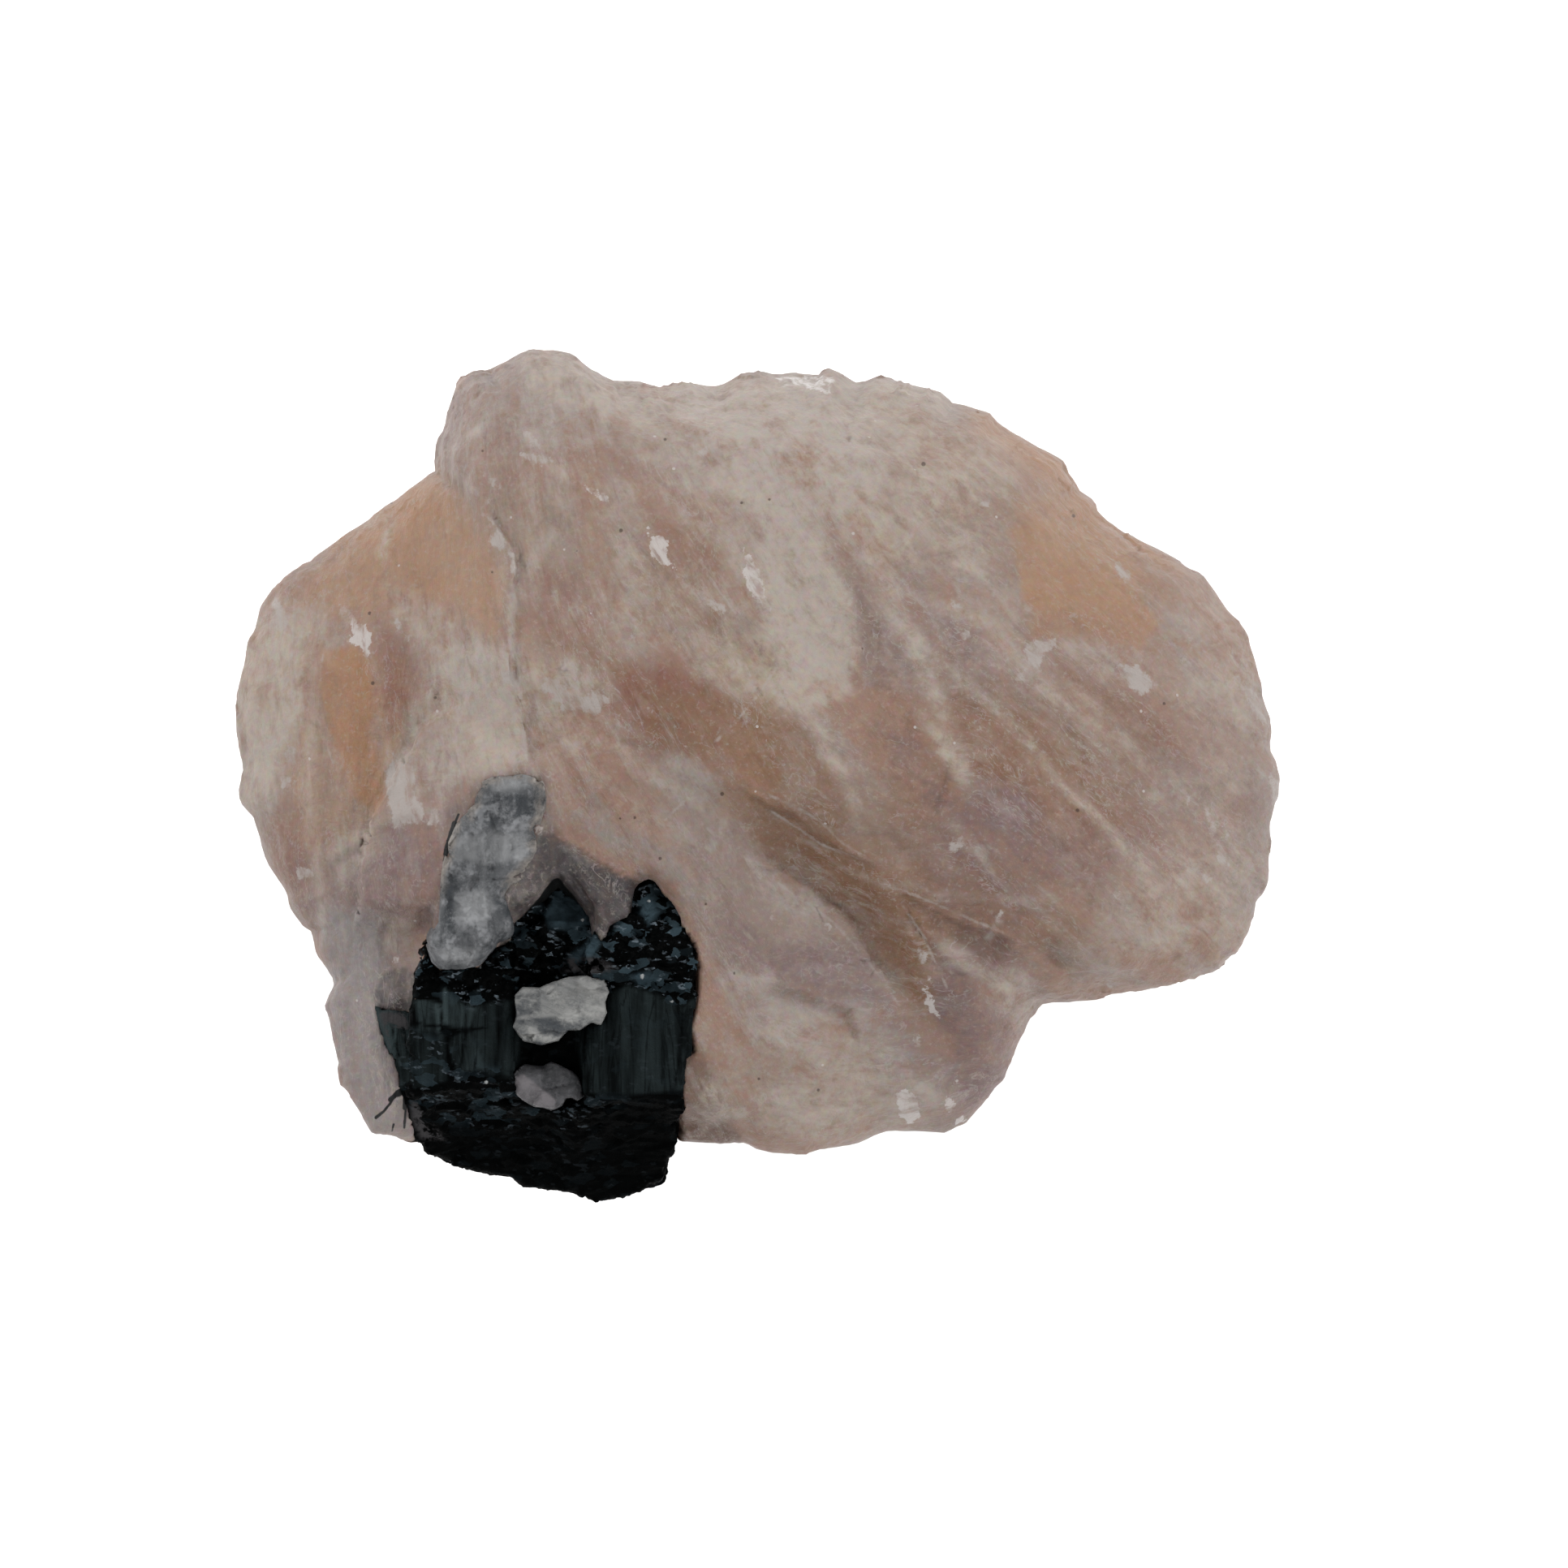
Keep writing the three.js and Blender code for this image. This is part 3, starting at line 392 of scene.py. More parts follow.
STREAKS: dict[Mark, tuple[Streak, ...]] = {
    Mark.OCHRE: (
        Streak(0.8, 12, ((1190, 508), (1300, 575), (1350, 630), (1420, 685), (1480, 722))),
        Streak(0.7, 12, ((395, 690), (430, 655), (480, 620), (535, 590))),
    ),
    Mark.MAUVE: (
        Streak(0.6, 9, ((572, 470), (556, 510), (548, 560))),
        Streak(0.5, 14, ((1130, 960), (1165, 1000), (1200, 1010))),
    ),
    # Painted shade along the broken edges and under the step above the grey quartz.
    Mark.DARK: (
        Streak(0.95, 3.2, (
            (665, 1025), (690, 1036), (715, 1048), (745, 1066), (775, 1085), (792, 1092),
        )),
        Streak(0.31, 5, (
            (905, 962), (935, 985), (955, 1002), (975, 1006), (1000, 1030), (1030, 1047), (1060, 1060),
        )),
        Streak(0.25, 6, ((1172, 950), (1160, 985), (1148, 1012))),
        Streak(0.25, 5, ((1250, 852), (1265, 866), (1283, 880))),
        Streak(0.22, 8, ((1290, 870), (1330, 920), (1350, 960))),
        Streak(0.22, 8, ((1160, 810), (1190, 850), (1210, 890))),
        Streak(0.25, 6, ((632, 690), (628, 740), (622, 790))),
        Streak(0.25, 6, ((648, 870), (650, 930))),
        Streak(0.22, 6, ((850, 700), (865, 740), (885, 775), (900, 790))),
        Streak(0.31, 6, ((1150, 1150), (1175, 1185), (1195, 1210))),
        Streak(0.28, 5, ((668, 1026), (700, 1040), (738, 1066), (776, 1088))),
    ),
    Mark.CREAM: (
        Streak(0.35, 12, ((985, 870), (1012, 905), (1045, 965), (1062, 1030), (1082, 1062))),
        Streak(0.6, 9, ((1122, 860), (1165, 930), (1200, 962))),
        Streak(0.4, 12, ((1150, 1150), (1200, 1195), (1250, 1230))),
        Streak(0.2, 10, ((1400, 960), (1440, 1010), (1480, 1080))),
        Streak(0.25, 9, ((1150, 990), (1215, 1060), (1240, 1085))),
        Streak(0.15, 8, ((1080, 1070), (1150, 1100), (1260, 1110), (1330, 1090))),
        Streak(0.45, 10, ((430, 650), (480, 640), (470, 700))),
        Streak(0.45, 8, ((392, 835), (382, 960), (386, 1040), (400, 1120), (402, 1185))),
        # Painted highlight along the fold of the lower left.
        Streak(0.5, 12, ((402, 1062), (440, 1038), (478, 1008))),
        Streak(0.6, 14, (
            (1045, 640), (1080, 700), (1105, 760), (1135, 810), (1178, 945), (1200, 1000),
        )),
        Streak(0.5, 8, ((1087, 717), (1150, 745), (1220, 770), (1280, 843), (1353, 897), (1407, 943))),
        Streak(0.45, 8, (
            (1120, 783), (1170, 825), (1220, 870), (1267, 917), (1300, 960), (1347, 1003), (1400, 1063),
            (1427, 1117),
        )),
        Streak(0.25, 9, ((1000, 903), (1040, 963), (1087, 1023), (1100, 1050))),
        Streak(0.4, 6, ((1150, 690), (1200, 700), (1235, 740), (1260, 790))),
        Streak(0.45, 7, ((1290, 830), (1330, 855), (1370, 890), (1420, 960))),
        Streak(0.2, 10, ((1205, 1010), (1240, 1060), (1300, 1110), (1370, 1140))),
        Streak(0.4, 8, ((310, 960), (350, 900), (380, 860))),
        Streak(0.35, 10, ((640, 560), (720, 590), (800, 610), (860, 590))),
        Streak(0.4, 12, ((750, 900), (780, 940), (850, 980), (900, 1000))),
        Streak(0.35, 12, ((700, 900), (740, 960), (800, 1010), (860, 1040))),
    ),
    Mark.FROST: (
        Streak(0.6, 9, ((905, 1048), (945, 1078), (990, 1105), (1025, 1135))),
        Streak(0.4, 12, ((925, 1075), (960, 1110), (1000, 1135))),
        Streak(0.5, 14, ((812, 930), (850, 950), (895, 975))),
        Streak(0.45, 8, ((780, 945), (820, 968), (870, 992))),
        Streak(0.4, 6, ((895, 1003), (886, 1030), (870, 1052))),
        Streak(0.5, 6, ((600, 520), (578, 540), (556, 562))),
        Streak(0.4, 10, ((645, 530), (670, 555), (680, 570))),
        Streak(0.4, 8, ((556, 570), (575, 595), (590, 620))),
        Streak(0.5, 6, ((637, 700), (630, 775), (628, 810))),
        Streak(0.45, 14, ((690, 815), (720, 830), (735, 850))),
        Streak(0.35, 8, ((835, 702), (860, 735), (880, 760))),
        Streak(0.35, 5, ((860, 680), (885, 715), (905, 750), (925, 775))),
        Streak(0.35, 9, ((700, 640), (660, 680), (650, 720))),
        Streak(0.3, 10, ((735, 740), (750, 735))),
        Streak(0.4, 6, ((1105, 1060), (1112, 1058))),
        Streak(0.35, 8, ((1140, 1345), (1120, 1320), (1105, 1300))),
        Streak(0.3, 10, ((1160, 1360), (1140, 1345))),
        Streak(0.4, 5, ((1215, 1160), (1225, 1140), (1235, 1125))),
        Streak(0.4, 7, ((960, 1262), (985, 1262))),
        Streak(0.35, 12, ((880, 1200), (925, 1210), (960, 1200))),
        Streak(0.3, 8, ((570, 1010), (562, 1060))),
        Streak(0.4, 8, ((350, 990), (330, 1000), (345, 975))),
    ),
}

# Bright chips with a painted glint, and frosted chips, then dark specks: X, Y and radius.
GLINTS: tuple[Line, ...] = (
    (
        (797, 645), (805, 662), (818, 660), (823, 670), (822, 685), (833, 701), (815, 696), (802, 682),
        (803, 665),
    ),
    ((717, 597), (733, 600), (740, 607), (752, 617), (742, 619), (728, 608)),
    (
        (425, 745), (440, 765), (452, 770), (460, 785), (456, 798), (460, 808), (452, 812), (447, 798),
        (430, 790), (440, 785), (430, 765),
    ),
    (
        (915, 672), (925, 688), (937, 710), (942, 730), (952, 754), (935, 747), (922, 727), (914, 705),
        (921, 700),
    ),
    ((958, 465), (1010, 463), (1028, 467), (1024, 478), (1022, 487), (1000, 478), (960, 474)),
    ((1140, 1192), (1147, 1205), (1143, 1207)),
    ((1135, 1214), (1144, 1218), (1150, 1235), (1158, 1258), (1150, 1252), (1142, 1240)),
    ((1103, 1346), (1118, 1342), (1130, 1350), (1133, 1376), (1120, 1383), (1108, 1372)),
    ((1163, 1350), (1173, 1350), (1177, 1366), (1168, 1370)),
    ((1176, 1377), (1188, 1373), (1190, 1379), (1180, 1384)),
    ((485, 1178), (492, 1178), (492, 1188), (484, 1188)),
)
FLAKES: tuple[Line, ...] = (
    ((488, 762), (495, 775), (508, 783), (505, 790), (492, 780)),
    ((338, 735), (350, 745), (356, 765), (350, 780), (340, 775), (335, 760)),
    (
        (666, 846), (685, 857), (697, 878), (710, 874), (735, 882), (752, 862), (735, 852), (715, 858),
        (700, 848), (690, 838), (672, 838),
    ),
    (
        (592, 628), (604, 640), (613, 655), (606, 668), (614, 678), (630, 678), (638, 695), (641, 715),
        (630, 700), (632, 690), (622, 668), (612, 640),
    ),
    ((865, 737), (885, 745), (900, 757), (880, 753)),
    (
        (1270, 790), (1298, 788), (1298, 800), (1285, 806), (1280, 825), (1262, 846), (1250, 838),
        (1262, 820), (1260, 805),
    ),
    ((1375, 818), (1400, 821), (1425, 845), (1405, 856), (1385, 842)),
    ((1371, 690), (1390, 704), (1394, 718), (1380, 712)),
    ((1525, 845), (1545, 850), (1555, 870), (1563, 893), (1548, 885), (1540, 865)),
    ((1568, 942), (1578, 958), (1574, 985), (1568, 1002), (1565, 965)),
    ((1481, 990), (1486, 992), (1498, 1020), (1493, 1024)),
    ((1492, 1030), (1510, 1052), (1513, 1068), (1502, 1062), (1495, 1045)),
    ((1505, 1018), (1514, 1026), (1510, 1033)),
    ((1370, 1093), (1380, 1100), (1384, 1113), (1371, 1104)),
    ((1480, 1072), (1491, 1076), (1490, 1090), (1482, 1084)),
    ((1168, 1032), (1185, 1032), (1188, 1045), (1172, 1050)),
    ((1131, 1168), (1141, 1178), (1140, 1188), (1133, 1180)),
    ((1128, 1270), (1135, 1285), (1130, 1288), (1126, 1278)),
    (
        (488, 928), (500, 931), (512, 950), (512, 975), (525, 1000), (520, 1012), (505, 1012),
        (492, 1022), (484, 1018), (488, 1004), (480, 990), (476, 960), (481, 942),
    ),
    ((536, 995), (542, 1000), (540, 1015), (533, 1020), (528, 1012)),
    ((645, 562), (672, 560), (682, 570), (660, 574)),
    ((645, 530), (655, 536), (668, 552), (658, 552)),
    ((350, 922), (365, 920), (368, 935), (356, 944)),
    ((612, 828), (630, 826), (648, 838), (640, 845), (622, 842)),
    ((1183, 778), (1190, 776), (1193, 786), (1186, 789)),
    ((1168, 738), (1185, 750), (1197, 762), (1190, 762), (1175, 750)),
    ((1206, 618), (1216, 618), (1216, 627), (1208, 627)),
    ((1262, 744), (1270, 748), (1268, 754), (1262, 752)),
    ((1458, 812), (1466, 820), (1468, 830), (1462, 826)),
    ((1458, 976), (1466, 982), (1464, 988), (1458, 984)),
    ((1363, 1205), (1372, 1210), (1370, 1217), (1362, 1213)),
    ((950, 1128), (955, 1127), (958, 1133), (952, 1134)),
    ((1016, 1138), (1022, 1136), (1023, 1150), (1018, 1146)),
    ((837, 986), (845, 985), (843, 991)),
    ((598, 588), (612, 592), (618, 604), (610, 604)),
    ((598, 616), (606, 618), (602, 626)),
    ((366, 1070), (385, 1065), (386, 1080), (370, 1082)),
    ((345, 960), (360, 955), (358, 970), (348, 970)),
    ((661, 1018), (666, 1016), (667, 1023), (662, 1024)),
    ((990, 556), (998, 557), (997, 562), (989, 560)),
    ((420, 748), (427, 748), (426, 756), (420, 755)),
    ((1238, 1121), (1232, 1130), (1227, 1133), (1231, 1120)),
    ((862, 556), (870, 553), (872, 560), (864, 563)),
)
SPECKS: tuple[Dot, ...] = (
    (766, 655, 2.5), (457, 756, 2.3), (461, 842, 2.3), (890, 978, 2.5), (783, 1007, 2),
    (765, 1008, 1.6), (820, 543, 1.9), (482, 620, 2), (1137, 573, 2.7), (1322, 636, 2.3),
    (870, 1113, 1.7), (814, 1057, 2), (1326, 998, 2.3), (1008, 1342, 1.9), (935, 1328, 1.7),
    (905, 1198, 1.9), (914, 621, 1.9), (948, 617, 1.6), (538, 860, 1.9), (596, 557, 1.6),
    (608, 706, 1.4), (712, 680, 1.2), (1433, 867, 2), (1062, 800, 1.4),
)

# Pale crests, partly painted highlight along the broken edges, and black hair lines: half width and route.
PALE_CRESTS_AND_HIGHLIGHTS: tuple[tuple[float, Line], ...] = (
    (1.6, ((936, 975), (960, 985), (986, 997), (1010, 1011), (1040, 1040), (1066, 1056))),
    (1.3, ((952, 1000), (985, 1021), (1012, 1040), (1060, 1059))),
    (1.6, ((1112, 1096), (1150, 1112), (1200, 1134), (1236, 1148))),
    (1.4, ((1110, 1112), (1136, 1150), (1152, 1185), (1166, 1216))),
    (1.6, ((872, 1020), (905, 1048), (960, 1088), (1030, 1138), (1080, 1198), (1108, 1238))),
    (1.3, ((850, 672), (880, 720), (906, 756))),
    (1.3, ((905, 765), (930, 798), (954, 815))),
    (1.4, ((878, 918), (908, 888), (938, 852), (952, 828))),
    (1.8, ((626, 812), (634, 850), (646, 892), (650, 936))),
    (1.3, ((612, 640), (628, 680), (638, 716))),
    (1.2, ((400, 800), (393, 850), (396, 900), (412, 940))),
    (1.2, ((690, 815), (706, 845), (740, 872))),
    (1.2, ((820, 1010), (845, 985), (872, 960))),
)
INK: tuple[tuple[float, Line], ...] = (
    (1.8, ((502, 1341), (488, 1346), (482, 1358), (474, 1368), (464, 1376))),
    (1.6, ((500, 1345), (501, 1365), (499, 1388))),
    (1.2, ((486, 1384), (484, 1392))),
    (1.5, ((505, 1345), (518, 1368), (530, 1390))),
    (1.4, ((567, 1003), (556, 1030), (549, 1060), (548, 1082))),
    (3.2, ((562, 1014), (555, 1036), (551, 1052))),
    (4.5, ((500, 1342), (492, 1346))),
    (3, ((492, 1345), (482, 1354))),
    (2.8, ((500, 1345), (500, 1364))),
)

# Broken edges of the upper face.
LEDGES: tuple[Ledge, ...] = (
    Ledge((
        (668, 955), (648, 930), (645, 870), (628, 840), (625, 800), (628, 770), (631, 730), (637, 700),
        (632, 680), (612, 650), (600, 620), (575, 600),
    ), 0.9, 0.6, 8),
    Ledge((
        (905, 965), (935, 985), (955, 1000), (975, 1002), (1000, 1025), (1030, 1043), (1060, 1055),
        (1090, 1060),
    ), 1, 0.7, 7),
    Ledge(((940, 1000), (955, 998), (990, 995), (1010, 1008)), 0.3, 0.6, 2),
    Ledge((
        (1110, 1235), (1100, 1220), (1080, 1190), (1050, 1140), (1010, 1105), (960, 1075), (917, 1040),
    ), 0.8, 0.9, 9),
    Ledge((
        (1110, 1098), (1120, 1103), (1150, 1118), (1200, 1138), (1240, 1150), (1250, 1156),
    ), 0.7, 0.6, 4.5),
    Ledge(((1120, 1115), (1130, 1130), (1150, 1160), (1180, 1190), (1200, 1205)), 0.6, 0.6, 3.5),
    Ledge(((1290, 1145), (1300, 1155), (1330, 1180), (1370, 1210), (1385, 1220)), 0.6, 0.7, 4),
    Ledge(((1175, 940), (1172, 950), (1160, 990), (1150, 1010)), 0.45, 0.6, 2.4),
    Ledge(((1225, 985), (1215, 975), (1185, 950)), 0.3, 0.6, 2),
    Ledge(((1240, 843), (1250, 850), (1265, 862), (1283, 875), (1292, 882)), 0.3, 0.5, 2.5),
    Ledge(((394, 820), (392, 840), (388, 880), (382, 960), (385, 1040), (390, 1060)), 0.45, 0.8, 5),
    Ledge(((400, 1040), (400, 1050), (400, 1180), (402, 1200)), 0.4, 0.7, 4),
    Ledge(((400, 1060), (410, 1055), (440, 1035), (470, 1015), (500, 1000), (515, 994)), 0.4, 0.7, 5),
    Ledge(((840, 1350), (850, 1360), (870, 1380), (900, 1390), (912, 1394)), 0.5, 0.5, 3),
    Ledge((
        (945, 1205), (960, 1215), (1000, 1225), (1050, 1240), (1060, 1280), (1064, 1290),
    ), 0.8, 0.6, 4),
    Ledge(((830, 760), (850, 790), (870, 840), (880, 870)), 0.4, 0.4, 3),
    Ledge(((1010, 700), (1040, 760), (1060, 830), (1070, 860)), 0.7, 0.8, 5),
)

# Where the tourmaline and the pieces on it show.
BLACK_EDGE: Line = (
    (529, 1148), (523, 1177), (517, 1192), (513, 1210), (513, 1230), (511, 1247), (480, 1244),
    (463, 1240), (470, 1268), (477, 1290), (487, 1303), (493, 1330), (494, 1343), (500, 1353),
    (503, 1367), (508, 1387), (507, 1402), (480, 1440), (540, 1500), (640, 1560), (760, 1570),
    (860, 1520), (838, 1425), (842, 1387), (843, 1337), (846, 1299), (858, 1298), (855, 1273),
    (851, 1270), (857, 1250), (862, 1230), (863, 1187), (860, 1167), (850, 1153), (843, 1143),
    (842, 1130), (833, 1113), (820, 1100), (810, 1083), (800, 1080), (790, 1083), (782, 1090),
    (777, 1110), (775, 1127), (763, 1132), (750, 1137), (745, 1153), (740, 1158), (733, 1147),
    (728, 1130), (718, 1110), (710, 1097), (700, 1087), (693, 1075), (680, 1078), (670, 1090),
    (662, 1102), (647, 1118), (630, 1137), (628, 1153), (630, 1163), (613, 1165), (597, 1178),
    (592, 1190), (563, 1195), (543, 1193), (535, 1183), (531, 1163),
)
CAP_EDGE: Line = (
    (597, 962), (612, 956), (630, 952), (648, 951), (662, 955), (671, 963), (675, 975), (672, 997),
    (668, 1012), (667, 1024), (661, 1047), (652, 1066), (645, 1080), (632, 1092), (625, 1106),
    (627, 1122), (633, 1137), (630, 1157), (613, 1163), (603, 1170), (597, 1177), (590, 1187),
    (563, 1193), (545, 1192), (535, 1183), (531, 1168), (534, 1153), (545, 1136), (547, 1107),
    (546, 1080), (548, 1067), (555, 1037), (563, 1017), (571, 1005), (587, 983),
)
WHITE_CHIP_EDGE: Line = (
    (636, 1226), (645, 1216), (666, 1217), (682, 1210), (701, 1204), (725, 1202), (745, 1205),
    (751, 1221), (746, 1233), (748, 1246), (741, 1261), (729, 1258), (714, 1267), (700, 1267),
    (688, 1280), (668, 1285), (646, 1280), (634, 1264), (638, 1252),
)
GREY_CHIP_EDGE: Line = (
    (630, 1325), (643, 1313), (657, 1303), (666, 1307), (673, 1310), (680, 1307), (697, 1315),
    (707, 1320), (713, 1327), (717, 1337), (721, 1349), (712, 1354), (704, 1350), (697, 1351),
    (693, 1360), (680, 1366), (670, 1362), (660, 1362), (647, 1355), (638, 1350), (635, 1337),
)

# Striped crystal faces: how pale each one's painted sheen is, and its outline.
SHEENED_CRYSTAL_FACES: tuple[tuple[float, Line], ...] = (
    (1, ((458, 1236), (508, 1243), (508, 1290), (494, 1310), (478, 1300))),
    (0.5, ((478, 1300), (508, 1290), (508, 1330), (494, 1340))),
    (0.85, ((512, 1226), (548, 1236), (548, 1268), (520, 1268))),
    (1, ((546, 1214), (560, 1226), (588, 1240), (580, 1266), (560, 1262), (546, 1258))),
    (0.5, ((560, 1270), (582, 1270), (604, 1318), (566, 1318), (556, 1290))),
    (0.32, ((588, 1236), (634, 1230), (642, 1270), (640, 1325), (604, 1322), (582, 1268))),
    (0.3, ((512, 1262), (548, 1262), (552, 1330), (512, 1338))),
    (0.36, (
        (712, 1222), (756, 1220), (775, 1212), (815, 1226), (842, 1236), (866, 1222), (862, 1300),
        (846, 1340), (780, 1346), (722, 1344), (712, 1290),
    )),
)

# Dark cracks across them: half width and route.
CRACKS: tuple[tuple[float, Line], ...] = (
    (1.6, ((512, 1228), (530, 1229), (546, 1232))),
    (1.3, ((545, 1214), (544, 1240), (547, 1262))),
    (1.2, ((510, 1257), (530, 1262), (544, 1262), (568, 1268), (600, 1264))),
    (4.5, ((548, 1267), (560, 1270))),
    (1.2, ((618, 1228), (616, 1268), (612, 1318))),
    (1, ((575, 1268), (572, 1290), (568, 1318))),
    (1, ((496, 1244), (500, 1270), (504, 1300))),
    (0.9, ((482, 1246), (488, 1275), (494, 1300))),
    (1.4, ((726, 1222), (724, 1290), (726, 1344))),
    (0.9, ((842, 1240), (838, 1300), (830, 1344))),
)

# Zones of the tourmaline and of the pieces on it.
# Where the lower end is broken more faintly, with weaker bumps and weaker painted glints.
DIM_ZONES: tuple[Line, ...] = (
    (
        (498, 1268), (545, 1280), (570, 1308), (640, 1318), (640, 1366), (718, 1346), (770, 1352),
        (720, 1388), (640, 1384), (560, 1384), (512, 1362), (497, 1330),
    ),
)
# Where the crystals are broken, with bumps and painted glints.
BREAK_ZONES: tuple[Line, ...] = (
    (
        (528, 1150), (548, 1150), (640, 1128), (690, 1068), (745, 1130), (776, 1100), (800, 1068),
        (850, 1120), (875, 1180), (864, 1222), (840, 1236), (815, 1228), (775, 1213), (760, 1222),
        (640, 1212), (600, 1240), (560, 1232), (520, 1218), (508, 1200),
    ),
)
ROUGH_ZONES: tuple[Line, ...] = (
    (
        (440, 1340), (505, 1338), (560, 1330), (640, 1332), (720, 1350), (780, 1352), (870, 1345),
        (880, 1420), (860, 1570), (640, 1590), (500, 1520), (450, 1400),
    ),
    ((640, 1272), (712, 1262), (718, 1345), (640, 1340)),
    ((538, 1262), (566, 1262), (566, 1278), (540, 1280)),
)
# Facets that get a painted grey sheen.
GREY_SHEEN_FACETS: tuple[Line, ...] = (
    ((672, 1128), (680, 1110), (700, 1105), (722, 1116), (727, 1136), (700, 1146), (678, 1143)),
    ((700, 1176), (722, 1166), (730, 1150), (742, 1160), (730, 1178), (704, 1190)),
    ((775, 1200), (800, 1195), (812, 1206), (790, 1214)),
    ((786, 1120), (800, 1112), (812, 1125), (800, 1140)),
)
PALE_FACETS: tuple[Line, ...] = (
    ((508, 1350), (522, 1362), (534, 1385), (548, 1404), (520, 1402), (509, 1380)),
    ((700, 1180), (735, 1178), (762, 1192), (735, 1198), (690, 1195)),
    ((468, 1246), (505, 1246), (502, 1285), (482, 1288)),
)
CAP_SHADOWS: tuple[Line, ...] = (
    (
        (592, 990), (612, 980), (640, 975), (660, 985), (668, 1003), (640, 1012), (600, 1018),
        (585, 1010),
    ),
    ((628, 1095), (640, 1082), (655, 1080), (664, 1092), (656, 1118), (640, 1118)),
    ((608, 1108), (622, 1102), (642, 1112), (640, 1132), (622, 1130)),
    ((548, 1085), (562, 1080), (566, 1110), (560, 1150), (548, 1140)),
    ((600, 1165), (620, 1150), (632, 1150), (628, 1166), (608, 1176)),
)
# Painted highlights on the cap's facets that face the light.
CAP_HIGHLIGHTS: tuple[Line, ...] = (
    ((560, 1032), (600, 1026), (652, 1030), (650, 1058), (600, 1062), (560, 1060)),
    ((562, 1100), (600, 1095), (612, 1118), (600, 1135), (566, 1135)),
    ((545, 1170), (590, 1168), (585, 1184), (550, 1186)),
    ((602, 960), (650, 952), (668, 962), (640, 972), (610, 974)),
)
# Painted highlight on the grey chip's lit facet.
GREY_CHIP_HIGHLIGHTS: tuple[Line, ...] = (
    ((633, 1326), (645, 1321), (660, 1333), (686, 1354), (684, 1364), (658, 1360), (638, 1351)),
)
GREY_CHIP_SHADOWS: tuple[Line, ...] = (
    ((648, 1306), (672, 1308), (690, 1314), (692, 1350), (668, 1332), (650, 1319)),
    ((692, 1318), (712, 1328), (716, 1340), (702, 1338)),
)
CHIP_SHADOWS: tuple[Line, ...] = (
    ((632, 1226), (666, 1219), (668, 1246), (636, 1252)),
    ((634, 1256), (700, 1249), (740, 1256), (700, 1268), (668, 1288), (636, 1270)),
)

# White dots on the tourmaline: X, Y and radius.
WHITE_DOTS: tuple[Dot, ...] = (
    (681, 1083, 2.6), (688, 1083, 2.4), (718, 1133, 2.4), (800, 1110, 2.2), (792, 1202, 3.2),
    (828, 1233, 2.4), (600, 1332, 2.6), (593, 1190, 2.4),
)
# ---- Places along lines and in patches ----


def smooth_step(low: float, high: float, value: np.ndarray) -> np.ndarray:
    """Rises softly from 0 to 1 between two values.

    Args:
        low: The value where the rise starts.
        high: The value where it ends.
        value: The values to map.

    Returns:
        The mapped values, from 0 to 1.
    """
    share = np.clip((value - low) / (high - low), 0.0, 1.0)
    return share * share * (3.0 - 2.0 * share)


def drawn(line: Line) -> np.ndarray:
    """Turns drawn steps into millimetres.

    Args:
        line: The corners of an outline or a route, in steps.

    Returns:
        X and Y of each corner, in millimetres.
    """
    return (np.array(line, float) - ORIGIN) * (STEP, -STEP)


def beside_line(route: Line, places: np.ndarray) -> tuple[np.ndarray, np.ndarray, np.ndarray]:
    """Measures how places lie beside a route.

    Args:
        route: The corners of the route, in steps.
        places: X and Y of each place, in millimetres.

    Returns:
        The distance to the route, the same signed plus on its right hand, and the share of
        the route that lies behind the nearest point.
    """
    corners = drawn(route)
    runs = corners[1:] - corners[:-1]
    lengths = np.linalg.norm(runs, axis=1)
    before = np.concatenate([[0.0], np.cumsum(lengths)])
    distance = np.full(len(places), np.inf)
    right = np.zeros(len(places))
    along = np.zeros(len(places))
    for start, run, length, done in zip(corners, runs, lengths, before):
        away = places - start
        share = np.clip(away @ run / length**2, 0.0, 1.0)
        gap = np.linalg.norm(away - share[:, None] * run, axis=1)
        near = gap < distance
        hand = np.sign(away[:, 0] * run[1] - away[:, 1] * run[0])
        distance[near] = gap[near]
        right[near] = (hand * gap)[near]
        along[near] = ((done + share * length) / before[-1])[near]
    return distance, right, along


def inside_outline(outline: Line, places: np.ndarray) -> np.ndarray:
    """Measures how far places lie inside a closed outline.

    Args:
        outline: The corners of the outline, in steps.
        places: X and Y of each place, in millimetres.

    Returns:
        The distance to the outline in millimetres, plus inside and minus outside.
    """
    closed = outline + (outline[0],)
    distance, _, _ = beside_line(closed, places)
    corners = drawn(closed)
    inside = np.zeros(len(places), bool)
    x, y = places[:, 0], places[:, 1]
    for (ax, ay), (bx, by) in zip(corners[:-1], corners[1:]):
        if ay == by:
            continue
        crosses = (ay > y) != (by > y)
        inside ^= crosses & (x < ax + (y - ay) * (bx - ax) / (by - ay))
    return np.where(inside, distance, -distance)


def deepest_in(outlines: Sequence[Line], places: np.ndarray) -> np.ndarray:
    """Gives each place's depth in the outline that it lies deepest in, down to OUTSIDE."""
    depths = (inside_outline(outline, places) for outline in outlines)
    return reduce(np.maximum, depths, np.full(len(places), OUTSIDE))


def deepest_on(lines: Sequence[tuple[float, Line]], places: np.ndarray) -> np.ndarray:
    """Does the same for lines, each a half width in steps and a route."""
    depths = (width * STEP - beside_line(route, places)[0] for width, route in lines)
    return reduce(np.maximum, depths, np.full(len(places), OUTSIDE))


